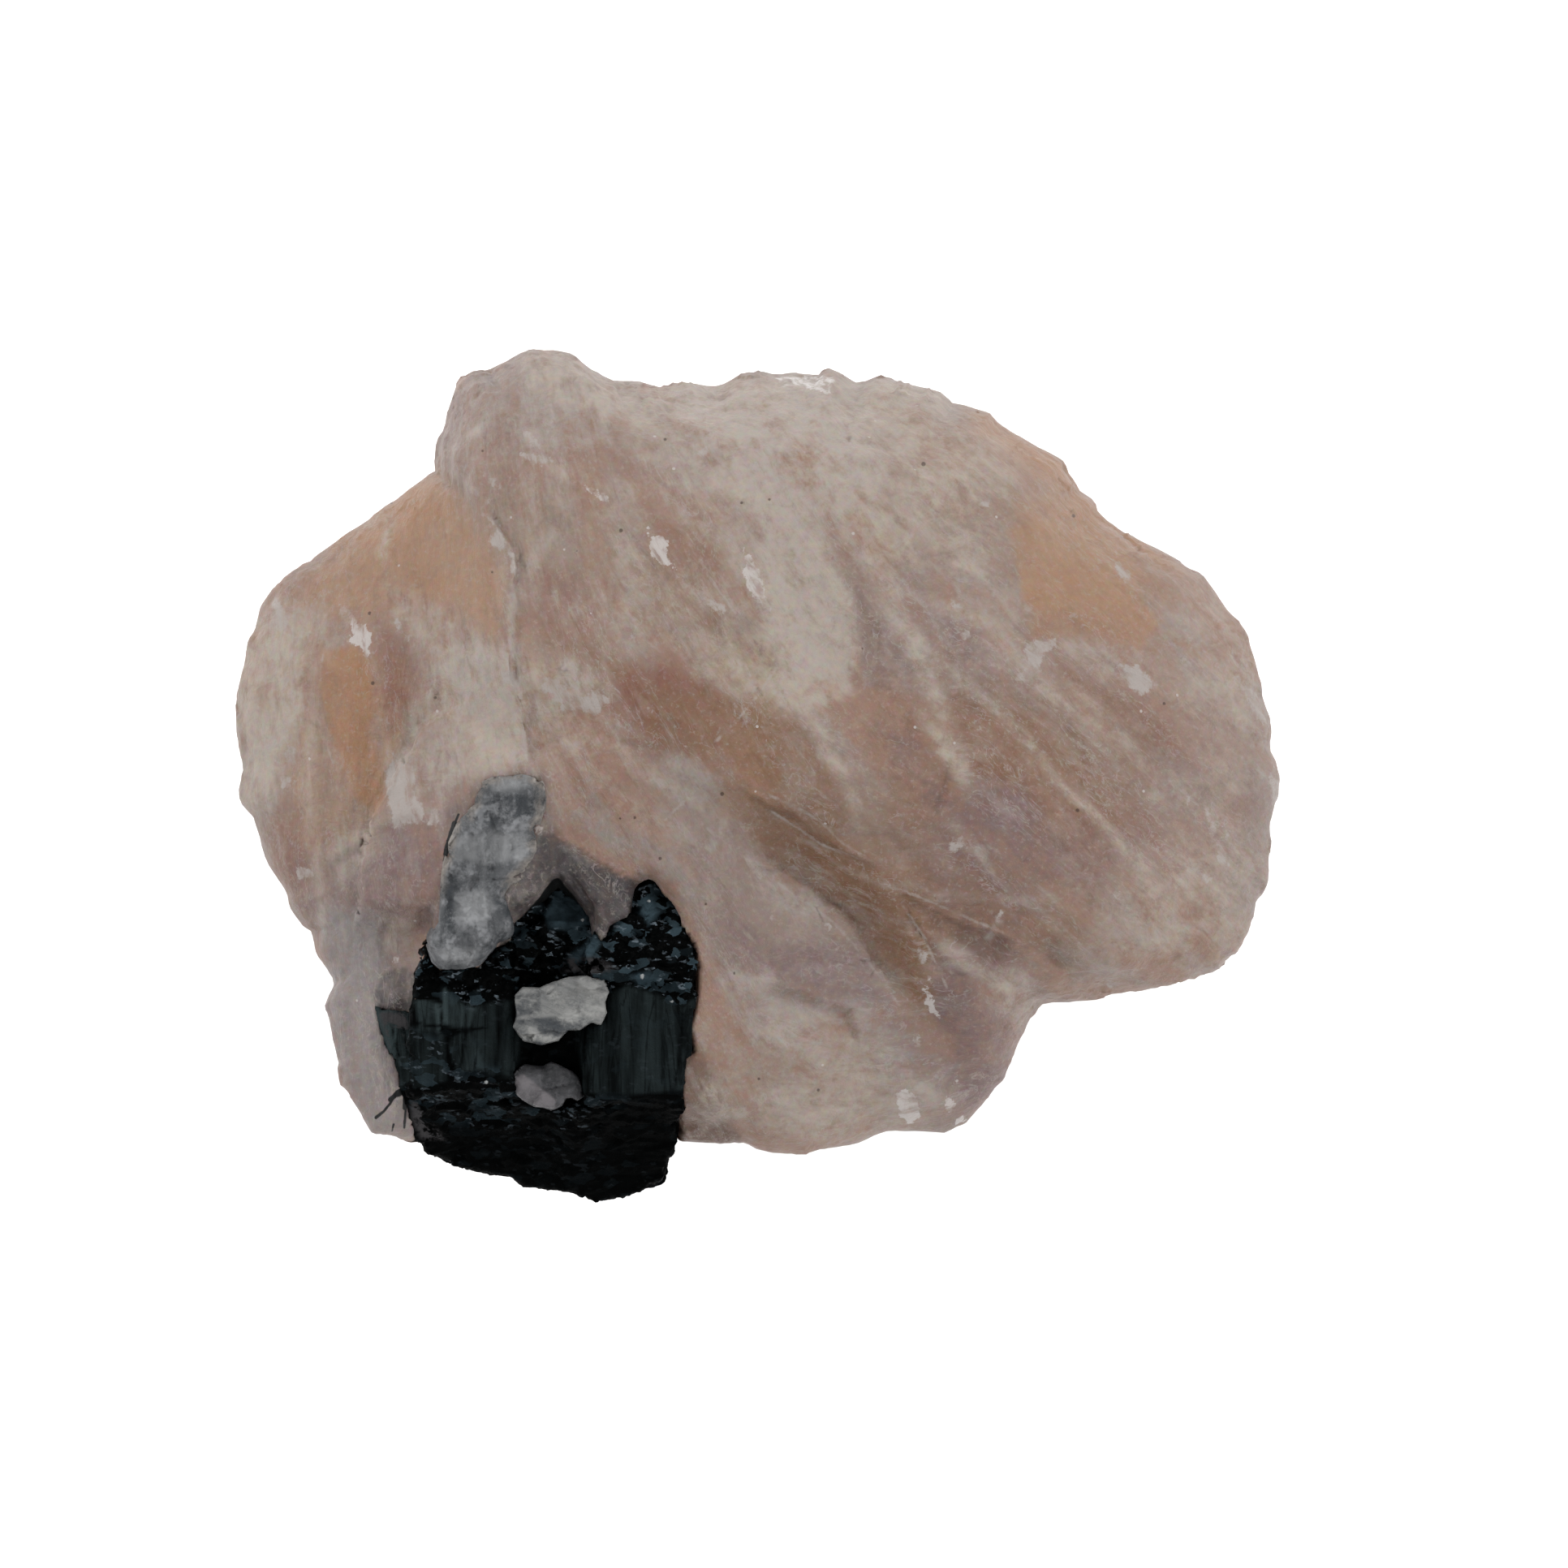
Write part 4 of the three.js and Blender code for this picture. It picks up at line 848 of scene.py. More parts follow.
def deepest_dot(dots: Sequence[Dot], places: np.ndarray) -> np.ndarray:
    """Does the same for round dots, each X, Y and radius in steps."""
    spots = zip(drawn(tuple(dot[:2] for dot in dots)), dots)
    depths = (dot[2] * STEP - np.linalg.norm(places - spot, axis=1) for spot, dot in spots)
    return reduce(np.maximum, depths, np.full(len(places), OUTSIDE))


def laid_over(held: np.ndarray, share: np.ndarray) -> np.ndarray:
    """Lays one more share of a tint over what is held, so that the two never pass 1."""
    return held + share - held * share


def waves(places: np.ndarray, length: float, seed: float, octaves: int = 4) -> np.ndarray:
    """Smooth layered noise at places in space.

    Args:
        places: X, Y and Z of each place, in millimetres.
        length: The longest wavelength, in millimetres.
        seed: Shifts the pattern, so that two layers differ.
        octaves: How many layers are stacked, each half as long as the last.

    Returns:
        One value for each place, about -1 to 1.
    """
    shift = Vector((seed * 17.3, seed * 5.1, seed * 9.7))
    values = (noise.fractal(Vector(p) / length + shift, 0.9, 2.0, octaves) for p in places)
    return np.fromiter(values, float, len(places))


def shards(places: np.ndarray, length: float, seed: float) -> np.ndarray:
    """Flat facets that lean every way, with sharp steps between them, as on a glassy break.

    Args:
        places: X, Y and Z of each place, in millimetres.
        length: The usual width of a facet, in millimetres.
        seed: Shifts the pattern.

    Returns:
        One value for each place, about -0.5 to 0.5.
    """
    shift = Vector((seed * 3.7, seed * 9.1, seed * 6.3))

    def lean(place: np.ndarray) -> float:
        """Height of a place on its facet."""
        spot = Vector(place) / length + shift
        middle = noise.voronoi(spot)[1][0]
        return (spot - middle).dot(noise.cell_vector(middle) - Vector((0.5, 0.5, 0.5)))

    return np.fromiter((lean(p) for p in places), float, len(places))


# ---- Meshes ----


class Sculpt:
    """A mesh held as arrays while it is shaped, in millimetres."""

    def __init__(self, piece: bpy.types.Object) -> None:
        """Reads the mesh of a piece."""
        self.piece = piece
        self.count = len(piece.data.vertices)
        self.places = np.zeros(self.count * 3)
        piece.data.vertices.foreach_get("co", self.places)
        self.places = self.places.reshape(-1, 3) / MM

    def normals(self) -> np.ndarray:
        """Writes the places back and reads the outward direction at each vertex."""
        self.write()
        out = np.zeros(self.count * 3)
        self.piece.data.vertices.foreach_get("normal", out)
        return out.reshape(-1, 3)

    def write(self) -> None:
        """Writes the places back to the mesh."""
        self.piece.data.vertices.foreach_set("co", (self.places * MM).ravel())
        self.piece.data.update()

    def swell(self, amount: np.ndarray) -> None:
        """Moves each vertex outwards by an amount in millimetres."""
        self.places += self.normals() * np.asarray(amount)[:, None]

    def keep(self, name: str, values: np.ndarray) -> None:
        """Stores one number for each vertex, which the finish reads by its name."""
        layer = self.piece.data.attributes.new(name, "FLOAT", "POINT")
        layer.data.foreach_set("value", np.asarray(values, np.float32))

    def keep_places(self, name: str, places: np.ndarray) -> None:
        """Stores a place in millimetres for each vertex, which the finish reads in metres."""
        layer = self.piece.data.attributes.new(name, "FLOAT_VECTOR", "POINT")
        layer.data.foreach_set("vector", np.asarray(places * MM, np.float32).ravel())

    def finish(self) -> bpy.types.Object:
        """Writes the mesh, shades it smooth and gives the piece."""
        self.write()
        self.piece.data.polygons.foreach_set("use_smooth", [True] * len(self.piece.data.polygons))
        self.piece.data.update()
        return self.piece


def sink_outside(
    sculpt: Sculpt, outline: Line, drop: float, blur: float = 0.25, fray: float = 0.15
) -> None:
    """Lowers a mesh outside an outline seen from above, so that its neighbour covers it.

    Args:
        sculpt: The mesh.
        outline: The corners of the outline, in steps.
        drop: How far the mesh is lowered, in millimetres.
        blur: The width of the slope at the outline, in millimetres.
        fray: How far the edge wanders from the outline, in millimetres.
    """
    depth = inside_outline(outline, sculpt.places[:, :2])
    depth += fray * waves(sculpt.places, 0.8, 21.0, 3)
    sculpt.places[:, 2] -= drop * smooth_step(0.0, -2.0 * blur, depth)


def raise_beside(
    sculpt: Sculpt, outline: Line, seat: np.ndarray, slope: float, lowest: float, share: np.ndarray
) -> None:
    """Banks a mesh up to a level at an outline seen from above, so that no trench is left there.

    Args:
        sculpt: The mesh.
        outline: The corners of the outline, in steps.
        seat: The level wanted at the outline beside each vertex, in millimetres.
        slope: How steeply the bank falls away from the outline.
        lowest: Vertices below this level stay, in millimetres.
        share: How much of the rise each vertex takes.
    """
    away = -inside_outline(outline, sculpt.places[:, :2])
    bank = seat - slope * np.maximum(away, 0.0)
    near = (away > -1.5) & (away < 8.0) & (sculpt.places[:, 2] > lowest)
    near &= sculpt.normals()[:, 2] > -0.2
    rise = np.where(near, np.maximum(bank - sculpt.places[:, 2], 0.0), 0.0)
    sculpt.places[:, 2] += rise * share


def inside_any(sculpt: Sculpt, zones: Sequence[Line], blur: float) -> np.ndarray:
    """Gives how far each vertex belongs to any of some zones seen from above.

    Args:
        sculpt: The mesh.
        zones: The outlines of the zones, in steps.
        blur: Half the width of their soft edges, in millimetres.

    Returns:
        One value for each vertex, 0 outside to 1 inside.
    """
    return smooth_step(-blur, blur, deepest_in(zones, sculpt.places[:, :2]))


def joined_copy(name: str, nodes: Sequence[str]) -> bpy.types.Object:
    """Copies solids of the frame into one new piece, with each one's vertices merged.

    Args:
        name: The new piece's name.
        nodes: The names of the solids.

    Returns:
        The new piece, at the origin.
    """
    shape = bmesh.new()
    for node in nodes:
        shape.from_mesh(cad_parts[node].data)
    bmesh.ops.remove_doubles(shape, verts=shape.verts, dist=1e-6)
    mesh = bpy.data.meshes.new(name)
    shape.to_mesh(mesh)
    shape.free()
    mesh.materials.clear()
    for layer in list(mesh.attributes):
        if layer.name == "custom_normal":
            mesh.attributes.remove(layer)
    piece = bpy.data.objects.new(name, mesh)
    bpy.context.scene.collection.objects.link(piece)
    return piece


def even_mesh(piece: bpy.types.Object, cell: float, rounds: int) -> None:
    """Replaces a piece's mesh by even small faces, with its facets smoothed away.

    Args:
        piece: The piece.
        cell: The width of the new faces, in millimetres.
        rounds: How many times the new mesh is smoothed.
    """
    remesh = piece.modifiers.new("even", "REMESH")
    remesh.mode = "VOXEL"
    remesh.voxel_size = cell * MM
    soften = piece.modifiers.new("soften", "SMOOTH")
    soften.factor = 0.5
    soften.iterations = rounds
    view = bpy.context.evaluated_depsgraph_get()
    made = bpy.data.meshes.new_from_object(piece.evaluated_get(view))
    old = piece.data
    piece.modifiers.clear()
    piece.data = made
    bpy.data.meshes.remove(old)
    made.name = piece.name


def keep_outer_shell(piece: bpy.types.Object) -> None:
    """Deletes the closed pockets that joining several solids leaves inside a mesh."""
    shape = bmesh.new()
    shape.from_mesh(piece.data)
    left = set(shape.verts)
    shells = []
    while left:
        front = [left.pop()]
        shell = list(front)
        while front:
            vert = front.pop()
            for edge in vert.link_edges:
                other = edge.other_vert(vert)
                if other in left:
                    left.discard(other)
                    shell.append(other)
                    front.append(other)
        shells.append(shell)
    shells.sort(key=len)
    inner = [vert for shell in shells[:-1] for vert in shell]
    bmesh.ops.delete(shape, geom=inner, context="VERTS")
    shape.to_mesh(piece.data)
    shape.free()


def refine_upper(piece: bpy.types.Object, lean: float) -> None:
    """Splits the faces of the upper side once more.

    Args:
        piece: The piece.
        lean: Faces are split where their direction rises by more than this.
    """
    shape = bmesh.new()
    shape.from_mesh(piece.data)
    upper = [face for face in shape.faces if face.normal.z > lean]
    edges = list({edge for face in upper for edge in face.edges})
    bmesh.ops.subdivide_edges(shape, edges=edges, cuts=1, use_grid_fill=True, smooth=0.0)
    bmesh.ops.triangulate(shape, faces=[face for face in shape.faces if len(face.verts) > 4])
    bmesh.ops.smooth_vert(
        shape, verts=shape.verts, factor=0.4, use_axis_x=True, use_axis_y=True, use_axis_z=True
    )
    shape.to_mesh(piece.data)
    shape.free()


def reach_of(outline: Line, centre: Point, angles: np.ndarray) -> np.ndarray:
    """Finds how far an outline lies from a centre in given directions.

    Args:
        outline: The corners of the outline, in steps.
        centre: The centre, in millimetres.
        angles: The directions, in radians.

    Returns:
        The distance in each direction, or 0 where the outline isn't met.
    """
    corners = drawn(outline) - centre
    way = np.stack([np.cos(angles), np.sin(angles)], 1)
    reach = np.zeros(len(angles))
    for start, end in zip(corners[:-1], corners[1:]):
        edge = end - start
        turn = way[:, 0] * edge[1] - way[:, 1] * edge[0]
        turn = np.where(np.abs(turn) < 1e-9, 1e-9, turn)
        share = (start[0] * way[:, 1] - start[1] * way[:, 0]) / turn
        distance = (start[0] * edge[1] - start[1] * edge[0]) / turn
        meets = (share >= 0.0) & (share <= 1.0) & (distance > reach)
        reach[meets] = distance[meets]
    return reach


def fit_to_edge(
    sculpt: Sculpt, outline: Line, centre: Point, depth: float, limit: float = 0.9
) -> None:
    """Moves the widest line of a mesh out or in to an outline seen from above.

    Args:
        sculpt: The mesh.
        outline: The outline, in steps.
        centre: The point that the outline is seen from, in millimetres.
        depth: How far in from the outline the mesh still follows, in millimetres.
        limit: The furthest that the mesh moves, in millimetres.
    """
    bins = 1440
    away = sculpt.places[:, :2] - centre
    span = np.linalg.norm(away, axis=1)
    angle = np.arctan2(away[:, 1], away[:, 0])
    slot = ((angle + math.pi) / (2 * math.pi) * bins).astype(int) % bins
    widest = np.zeros(bins)
    np.maximum.at(widest, slot, span)
    widest = np.maximum(widest, np.maximum(np.roll(widest, 1), np.roll(widest, -1)))
    target = reach_of(outline, centre, (np.arange(bins) + 0.5) / bins * 2 * math.pi - math.pi)
    place = (angle + math.pi) / (2 * math.pi) * bins - 0.5
    low = np.floor(place).astype(int) % bins
    share = place - np.floor(place)
    wanted = target[low] * (1 - share) + target[(low + 1) % bins] * share
    held = widest[low] * (1 - share) + widest[(low + 1) % bins] * share
    shift = np.where(wanted > 0, np.clip(wanted - held, -limit, limit), 0.0)
    pull = smooth_step(-depth, -0.2, span - held)
    sculpt.places[:, :2] += away / np.maximum(span, 1e-6)[:, None] * (shift * pull)[:, None]


# ---- Finishes ----


class Graph:
    """Places and joins the nodes of a material or of a shader node group."""

    def __init__(self, tree: Tree) -> None:
        """Takes an empty node tree."""
        self.tree = tree

    def add(self, kind: str, inputs: dict | None = None, **settings: object) -> bpy.types.Node:
        """Places a node.

        Args:
            kind: The node's type, without its ShaderNode prefix.
            inputs: What each input gets, by name or number: a value or another node's output.
            settings: The node's own settings.

        Returns:
            The node.
        """
        node = self.tree.nodes.new(kind if kind.startswith("NodeGroup") else "ShaderNode" + kind)
        for name, value in settings.items():
            setattr(node, name, value)
        for name, value in (inputs or {}).items():
            self.feed(node.inputs[name], value)
        return node

    def feed(self, socket: Socket, value: object) -> None:
        """Joins an output to a socket, or sets the socket's own value."""
        if isinstance(value, Socket):
            self.tree.links.new(value, socket)
        elif socket.type == "RGBA" and len(value) == 3:
            socket.default_value = (*value, 1.0)
        else:
            socket.default_value = value

    def number(self, operation: str, *values: object, clamp: bool = False) -> Socket:
        """Places a math node on its values."""
        node = self.add("Math", operation=operation, use_clamp=clamp)
        for socket, value in zip(node.inputs, values):
            self.feed(socket, value)
        return node.outputs[0]

    def times(self, first: object, second: object, clamp: bool = False) -> Socket:
        """Multiplies two values."""
        return self.number("MULTIPLY", first, second, clamp=clamp)

    def scaled(self, value: object, by: object, plus: object, clamp: bool = False) -> Socket:
        """Multiplies a value and adds to it."""
        return self.number("MULTIPLY_ADD", value, by, plus, clamp=clamp)

    def weighed(
        self, first: object, share: object, second: object, other: object, clamp: bool = False
    ) -> Socket:
        """Adds two values, each times its own share."""
        return self.scaled(first, share, self.times(second, other), clamp)

    def strands(self, tree: Tree, place: object, scale: float, stretch: float, **more: float) -> Socket:
        """Places a group of drawn-out grain.

        Args:
            tree: The group's tree.
            place: Where it is read.
            scale: How often it repeats in a metre.
            stretch: How far it is drawn out.
            **more: Values for its other inputs.

        Returns:
            Its value.
        """
        inputs = {"Vector": place, "Scale": scale, "Stretch": stretch, **more}
        return self.group(tree, inputs).outputs[0]

    def vector(self, operation: str, first: object, second: object) -> Socket:
        """Places a vector math node on two vectors."""
        return self.add("VectorMath", {0: first, 1: second}, operation=operation).outputs[0]

    def noise(
        self, place: object, scale: object, detail: float, rough: float = 0.5, bend: float = 0.0
    ) -> bpy.types.Node:
        """Places a noise.

        Args:
            place: Where it is read.
            scale: How often it repeats in a metre.
            detail: How many finer layers it has.
            rough: How strong these are.
            bend: How far it is bent by itself.

        Returns:
            The noise's node: its value comes first and its colour second.
        """
        inputs = {"Vector": place, "Scale": scale, "Detail": detail, "Roughness": rough, "Distortion": bend}
        return self.add("TexNoise", inputs)

    def ramp(self, value: object, low: object, high: object) -> Socket:
        """Rises softly from 0 to 1 between two values."""
        inputs = {"Value": value, "From Min": low, "From Max": high}
        node = self.add("MapRange", inputs, interpolation_type="SMOOTHSTEP")
        return node.outputs["Result"]

    def blend(self, share: object, first: object, second: object) -> Socket:
        """Mixes two colours: inputs 6 and 7 and output 2 are the Mix node's colours."""
        inputs = {0: share, 6: first, 7: second}
        return self.add("Mix", inputs, data_type="RGBA", blend_type="MIX").outputs[2]

    def attribute(self, name: str) -> Socket:
        """Reads a number stored on the mesh."""
        return self.add("Attribute", attribute_name=name, attribute_type="GEOMETRY").outputs["Fac"]

    def frayed(
        self, crisp: Tree, name: str, place: object, fray: float, edge: float
    ) -> Socket:
        """Gives the mask of a mark whose depth is stored on the mesh.

        Args:
            crisp: The group that frays an edge.
            name: The name that the depth is stored under.
            place: Where the fraying is read.
            fray: How far the edge wanders, in millimetres.
            edge: Half the width of the soft edge, in millimetres.

        Returns:
            The mask, 0 to 1.
        """
        inputs = {"Depth": self.attribute(name), "Vector": place, "Fray": fray, "Edge": edge}
        return self.group(crisp, inputs).outputs[0]

    def group(self, tree: Tree, inputs: dict) -> bpy.types.Node:
        """Places a shader node group with its own values."""
        node = self.tree.nodes.new("ShaderNodeGroup")
        node.node_tree = tree
        for name, value in inputs.items():
            self.feed(node.inputs[name], value)
        return node


def new_group(
    name: str, inputs: Sequence[tuple[str, str, object]], outputs: Sequence[tuple[str, str]]
) -> tuple[Graph, bpy.types.Node, bpy.types.Node]:
    """Starts a shader node group.

    Args:
        name: Its name.
        inputs: Name, kind and default value of each input.
        outputs: Name and kind of each output.

    Returns:
        The graph to fill, its input node and its output node.
    """
    tree = bpy.data.node_groups.new(name, "ShaderNodeTree")
    for label, kind, default in inputs:
        socket = tree.interface.new_socket(label, in_out="INPUT", socket_type="NodeSocket" + kind)
        if default is not None:
            socket.default_value = default
    for label, kind in outputs:
        tree.interface.new_socket(label, in_out="OUTPUT", socket_type="NodeSocket" + kind)
    graph = Graph(tree)
    return graph, tree.nodes.new("NodeGroupInput"), tree.nodes.new("NodeGroupOutput")


DRAWN_INPUTS = (
    ("Vector", "Vector", None), ("Scale", "Float", 200.0), ("Stretch", "Float", 3.0),
    ("Turn", "Float", 0.0),
)


def drawn_out_noise(
    graph: Graph, given: bpy.types.Node, detail: float, rough: float, bend: float
) -> Socket:
    """Places a noise drawn out along one direction.

    Args:
        graph: The group's graph.
        given: Its input node, which has DRAWN_INPUTS.
        detail: How many finer layers the noise has.
        rough: How strong these are.
        bend: How far the noise is bent by itself.

    Returns:
        The noise, about 0 to 1.
    """
    turn = graph.add("CombineXYZ", {"Z": given.outputs["Turn"]})
    to_turn = {"Vector": given.outputs["Vector"], "Rotation": turn.outputs[0]}
    turned = graph.add("VectorRotate", to_turn, rotation_type="EULER_XYZ")
    squash = graph.number("DIVIDE", 1.0, given.outputs["Stretch"])
    shape = graph.add("CombineXYZ", {"X": squash, "Y": 1.0, "Z": 0.45})
    place = graph.vector("MULTIPLY", turned.outputs[0], shape.outputs[0])
    return graph.noise(place, given.outputs["Scale"], detail, rough, bend).outputs[0]


def grain_group() -> Tree:
    """Cloudy grain drawn out along one direction.

    Returns:
        A group with Vector, Scale (per metre), Stretch and Turn (radians about Z), which
        puts out Grain, about 0 to 1.
    """
    graph, given, made = new_group("drawn_out_grain", DRAWN_INPUTS, [("Grain", "Float")])
    cloud = drawn_out_noise(graph, given, 5.0, 0.62, 0.35)
    graph.feed(made.inputs["Grain"], graph.ramp(cloud, 0.3, 0.7))
    return graph.tree


def wisp_group() -> Tree:
    """Thin filaments drawn out along one direction.

    Returns:
        A group with Vector, Scale (per metre), Stretch, Turn (radians about Z) and Width,
        which puts out Wisp, 0 between the filaments and 1 on them.
    """
    inputs = [*DRAWN_INPUTS, ("Width", "Float", 0.08)]
    graph, given, made = new_group("filaments", inputs, [("Wisp", "Float")])
    cloud = drawn_out_noise(graph, given, 4.0, 0.6, 0.9)
    away = graph.number("ABSOLUTE", graph.number("SUBTRACT", cloud, 0.5))
    graph.feed(made.inputs["Wisp"], graph.ramp(away, given.outputs["Width"], 0.0))
    return graph.tree


def glint_shard_group() -> Tree:
    """Angular shards of random brightness, with bent edges: painted glints on broken facets.

    Returns:
        A group with Vector, Scale (per metre), Stretch (along X) and Share (of the shards
        that are bright), which puts out Shard, 0 to 1.
    """
    inputs = [
        ("Vector", "Vector", None), ("Scale", "Float", 600.0), ("Stretch", "Float", 1.6),
        ("Share", "Float", 0.3),
    ]
    graph, given, made = new_group("glinting_shards", inputs, [("Shard", "Float")])
    scale = given.outputs["Scale"]
    squash = graph.number("DIVIDE", 1.0, given.outputs["Stretch"])
    shape = graph.add("CombineXYZ", {"X": squash, "Y": 1.0, "Z": 0.6}).outputs[0]
    place = graph.vector("MULTIPLY", given.outputs["Vector"], shape)
    centred = graph.vector("SUBTRACT", graph.noise(place, scale, 4.0).outputs[1], (0.5,) * 3)
    reach = graph.number("DIVIDE", 1.3, scale)
    shift = graph.add("VectorMath", {0: centred, 3: reach}, operation="SCALE").outputs[0]
    cells = graph.add("TexVoronoi", {"Vector": graph.vector("ADD", place, shift), "Scale": scale})
    chance = graph.add("SeparateColor", {0: cells.outputs["Color"]}).outputs[0]
    low = graph.number("SUBTRACT", 1.0, given.outputs["Share"])
    rise = graph.add("MapRange", {"Value": chance, "From Min": low, "From Max": 1.0})
    graph.feed(made.inputs["Shard"], rise.outputs["Result"])
    return graph.tree


def sparkle_group() -> Tree:
    """Tiny bright points, scattered thinly.

    Returns:
        A group with Vector, Scale (per metre), Size (of a cell) and Share (of the cells that
        have a point), which puts out Sparkle, 0 or 1.
    """
    inputs = [
        ("Vector", "Vector", None), ("Scale", "Float", 900.0), ("Size", "Float", 0.16),
        ("Share", "Float", 0.1),
    ]
    graph, given, made = new_group("sparkles", inputs, [("Sparkle", "Float")])
    place = {"Vector": given.outputs["Vector"], "Scale": given.outputs["Scale"]}
    cells = graph.add("TexVoronoi", place)
    chance = graph.add("SeparateColor", {0: cells.outputs["Color"]}).outputs[1]
    chosen = graph.number("GREATER_THAN", chance, graph.number("SUBTRACT", 1.0, given.outputs["Share"]))
    near = graph.number("LESS_THAN", cells.outputs["Distance"], given.outputs["Size"])
    graph.feed(made.inputs["Sparkle"], graph.number("MULTIPLY", chosen, near))
    return graph.tree


def tint_group() -> Tree:
    """Lays a tint over a colour through a mask that grain breaks up.

    Returns:
        A group with Colour, Tint, Mask, Grain and Bite, which puts out Colour.
    """
    inputs = [
        ("Colour", "Color", None), ("Tint", "Color", None), ("Mask", "Float", 0.0),
        ("Grain", "Float", 0.5), ("Bite", "Float", 0.7),
    ]
    graph, given, made = new_group("veil_of_tint", inputs, [("Colour", "Color")])
    mask = given.outputs["Mask"]
    centred = graph.number("SUBTRACT", given.outputs["Grain"], 0.5)
    swing = graph.times(centred, given.outputs["Bite"])
    room = graph.times(mask, graph.number("SUBTRACT", 1.25, mask))
    share = graph.scaled(swing, graph.times(room, 4.0), mask, clamp=True)
    graph.feed(made.inputs["Colour"], graph.blend(share, given.outputs["Colour"], given.outputs["Tint"]))
    return graph.tree


def crisp_group() -> Tree:
    """Turns a stored depth inside an outline into a mask with a frayed edge.

    Returns:
        A group with Depth (millimetres), Vector, Fray (millimetres) and Edge (millimetres),
        which puts out Mask.
    """
    inputs = [
        ("Depth", "Float", 0.0), ("Vector", "Vector", None), ("Fray", "Float", 0.3),
        ("Edge", "Float", 0.12),
    ]
    graph, given, made = new_group("frayed_edge", inputs, [("Mask", "Float")])
    tear = graph.noise(given.outputs["Vector"], 1100.0, 5.0, 0.7).outputs[0]
    swing = graph.times(graph.number("SUBTRACT", tear, 0.5), 4.0)
    depth = graph.scaled(swing, given.outputs["Fray"], given.outputs["Depth"])
    low = graph.times(given.outputs["Edge"], -1.0)
    graph.feed(made.inputs["Mask"], graph.ramp(depth, low, given.outputs["Edge"]))
    return graph.tree


def colour(red: int, green: int, blue: int) -> Colour:
    """Turns display values from 0 to 255 into the linear values that shaders use.

    Args:
        red: The red value.
        green: The green value.
        blue: The blue value.

    Returns:
        The linear colour.
    """
    return tuple(
        ((v / 255 + 0.055) / 1.055) ** 2.4 if v > 10 else v / 255 / 12.92 for v in (red, green, blue)
    )


def new_material(name: str) -> tuple[bpy.types.Material, Graph, bpy.types.Node, Socket]:
    """Starts a material.

    Args:
        name: Its name.

    Returns:
        The material, its graph, its shader and the place of each point on the piece.
    """
    made = bpy.data.materials.new(name)
    made.use_nodes = True
    graph = Graph(made.node_tree)
    shader = made.node_tree.nodes["Principled BSDF"]
    return made, graph, shader, graph.add("TexCoord").outputs["Object"]


def set_bump(
    graph: Graph, shader: bpy.types.Node, height: Socket, strength: float, depth: float
) -> None:
    """Gives a shader a bump from a height, over a depth in metres."""
    bump = graph.add("Bump", {"Strength": strength, "Distance": depth, "Height": height})
    graph.feed(shader.inputs["Normal"], bump.outputs[0])


def set_glow(shader: bpy.types.Node, weight: float, radius: Colour, scale: float) -> None:
    """Lets light soak into a shader, over a scale in metres and a reach for each colour."""
    shader.inputs["Subsurface Weight"].default_value = weight
    shader.inputs["Subsurface Radius"].default_value = radius
    shader.inputs["Subsurface Scale"].default_value = scale


# ---- Rose quartz ----

# How far the flow is turned from X, in radians, at places along X in millimetres.
FLOW_PLACES = (-36.0, -14.0, 0.0, 22.0)
FLOW_TURNS = (1.50, 1.02, 1.02, 0.72)
FLOW_PIVOT = -24.0

# The level of the grey cap's rim at Y 0, and its rise along Y.
CAP_SEAT = 45.3
CAP_RISE = 0.24
CAP_FOOT = -12.0

# The same for the right flank of the tourmaline, which starts at this X.
FLANK_SEAT = 41.6
FLANK_RISE = 0.19
FLANK_LEFT = -9.5
INNER_NODES = ("black_tourmaline", "grey_quartz_cap", "white_quartz_chip", "grey_quartz_chip")


@dataclass(frozen=True)
class Grains:
    """The quartz's grain, from its broad bands to its fine haze, each about 0 to 1."""

    broad: Socket
    middle: Socket
    fine: Socket
    cloud: Socket
    mottle: Socket


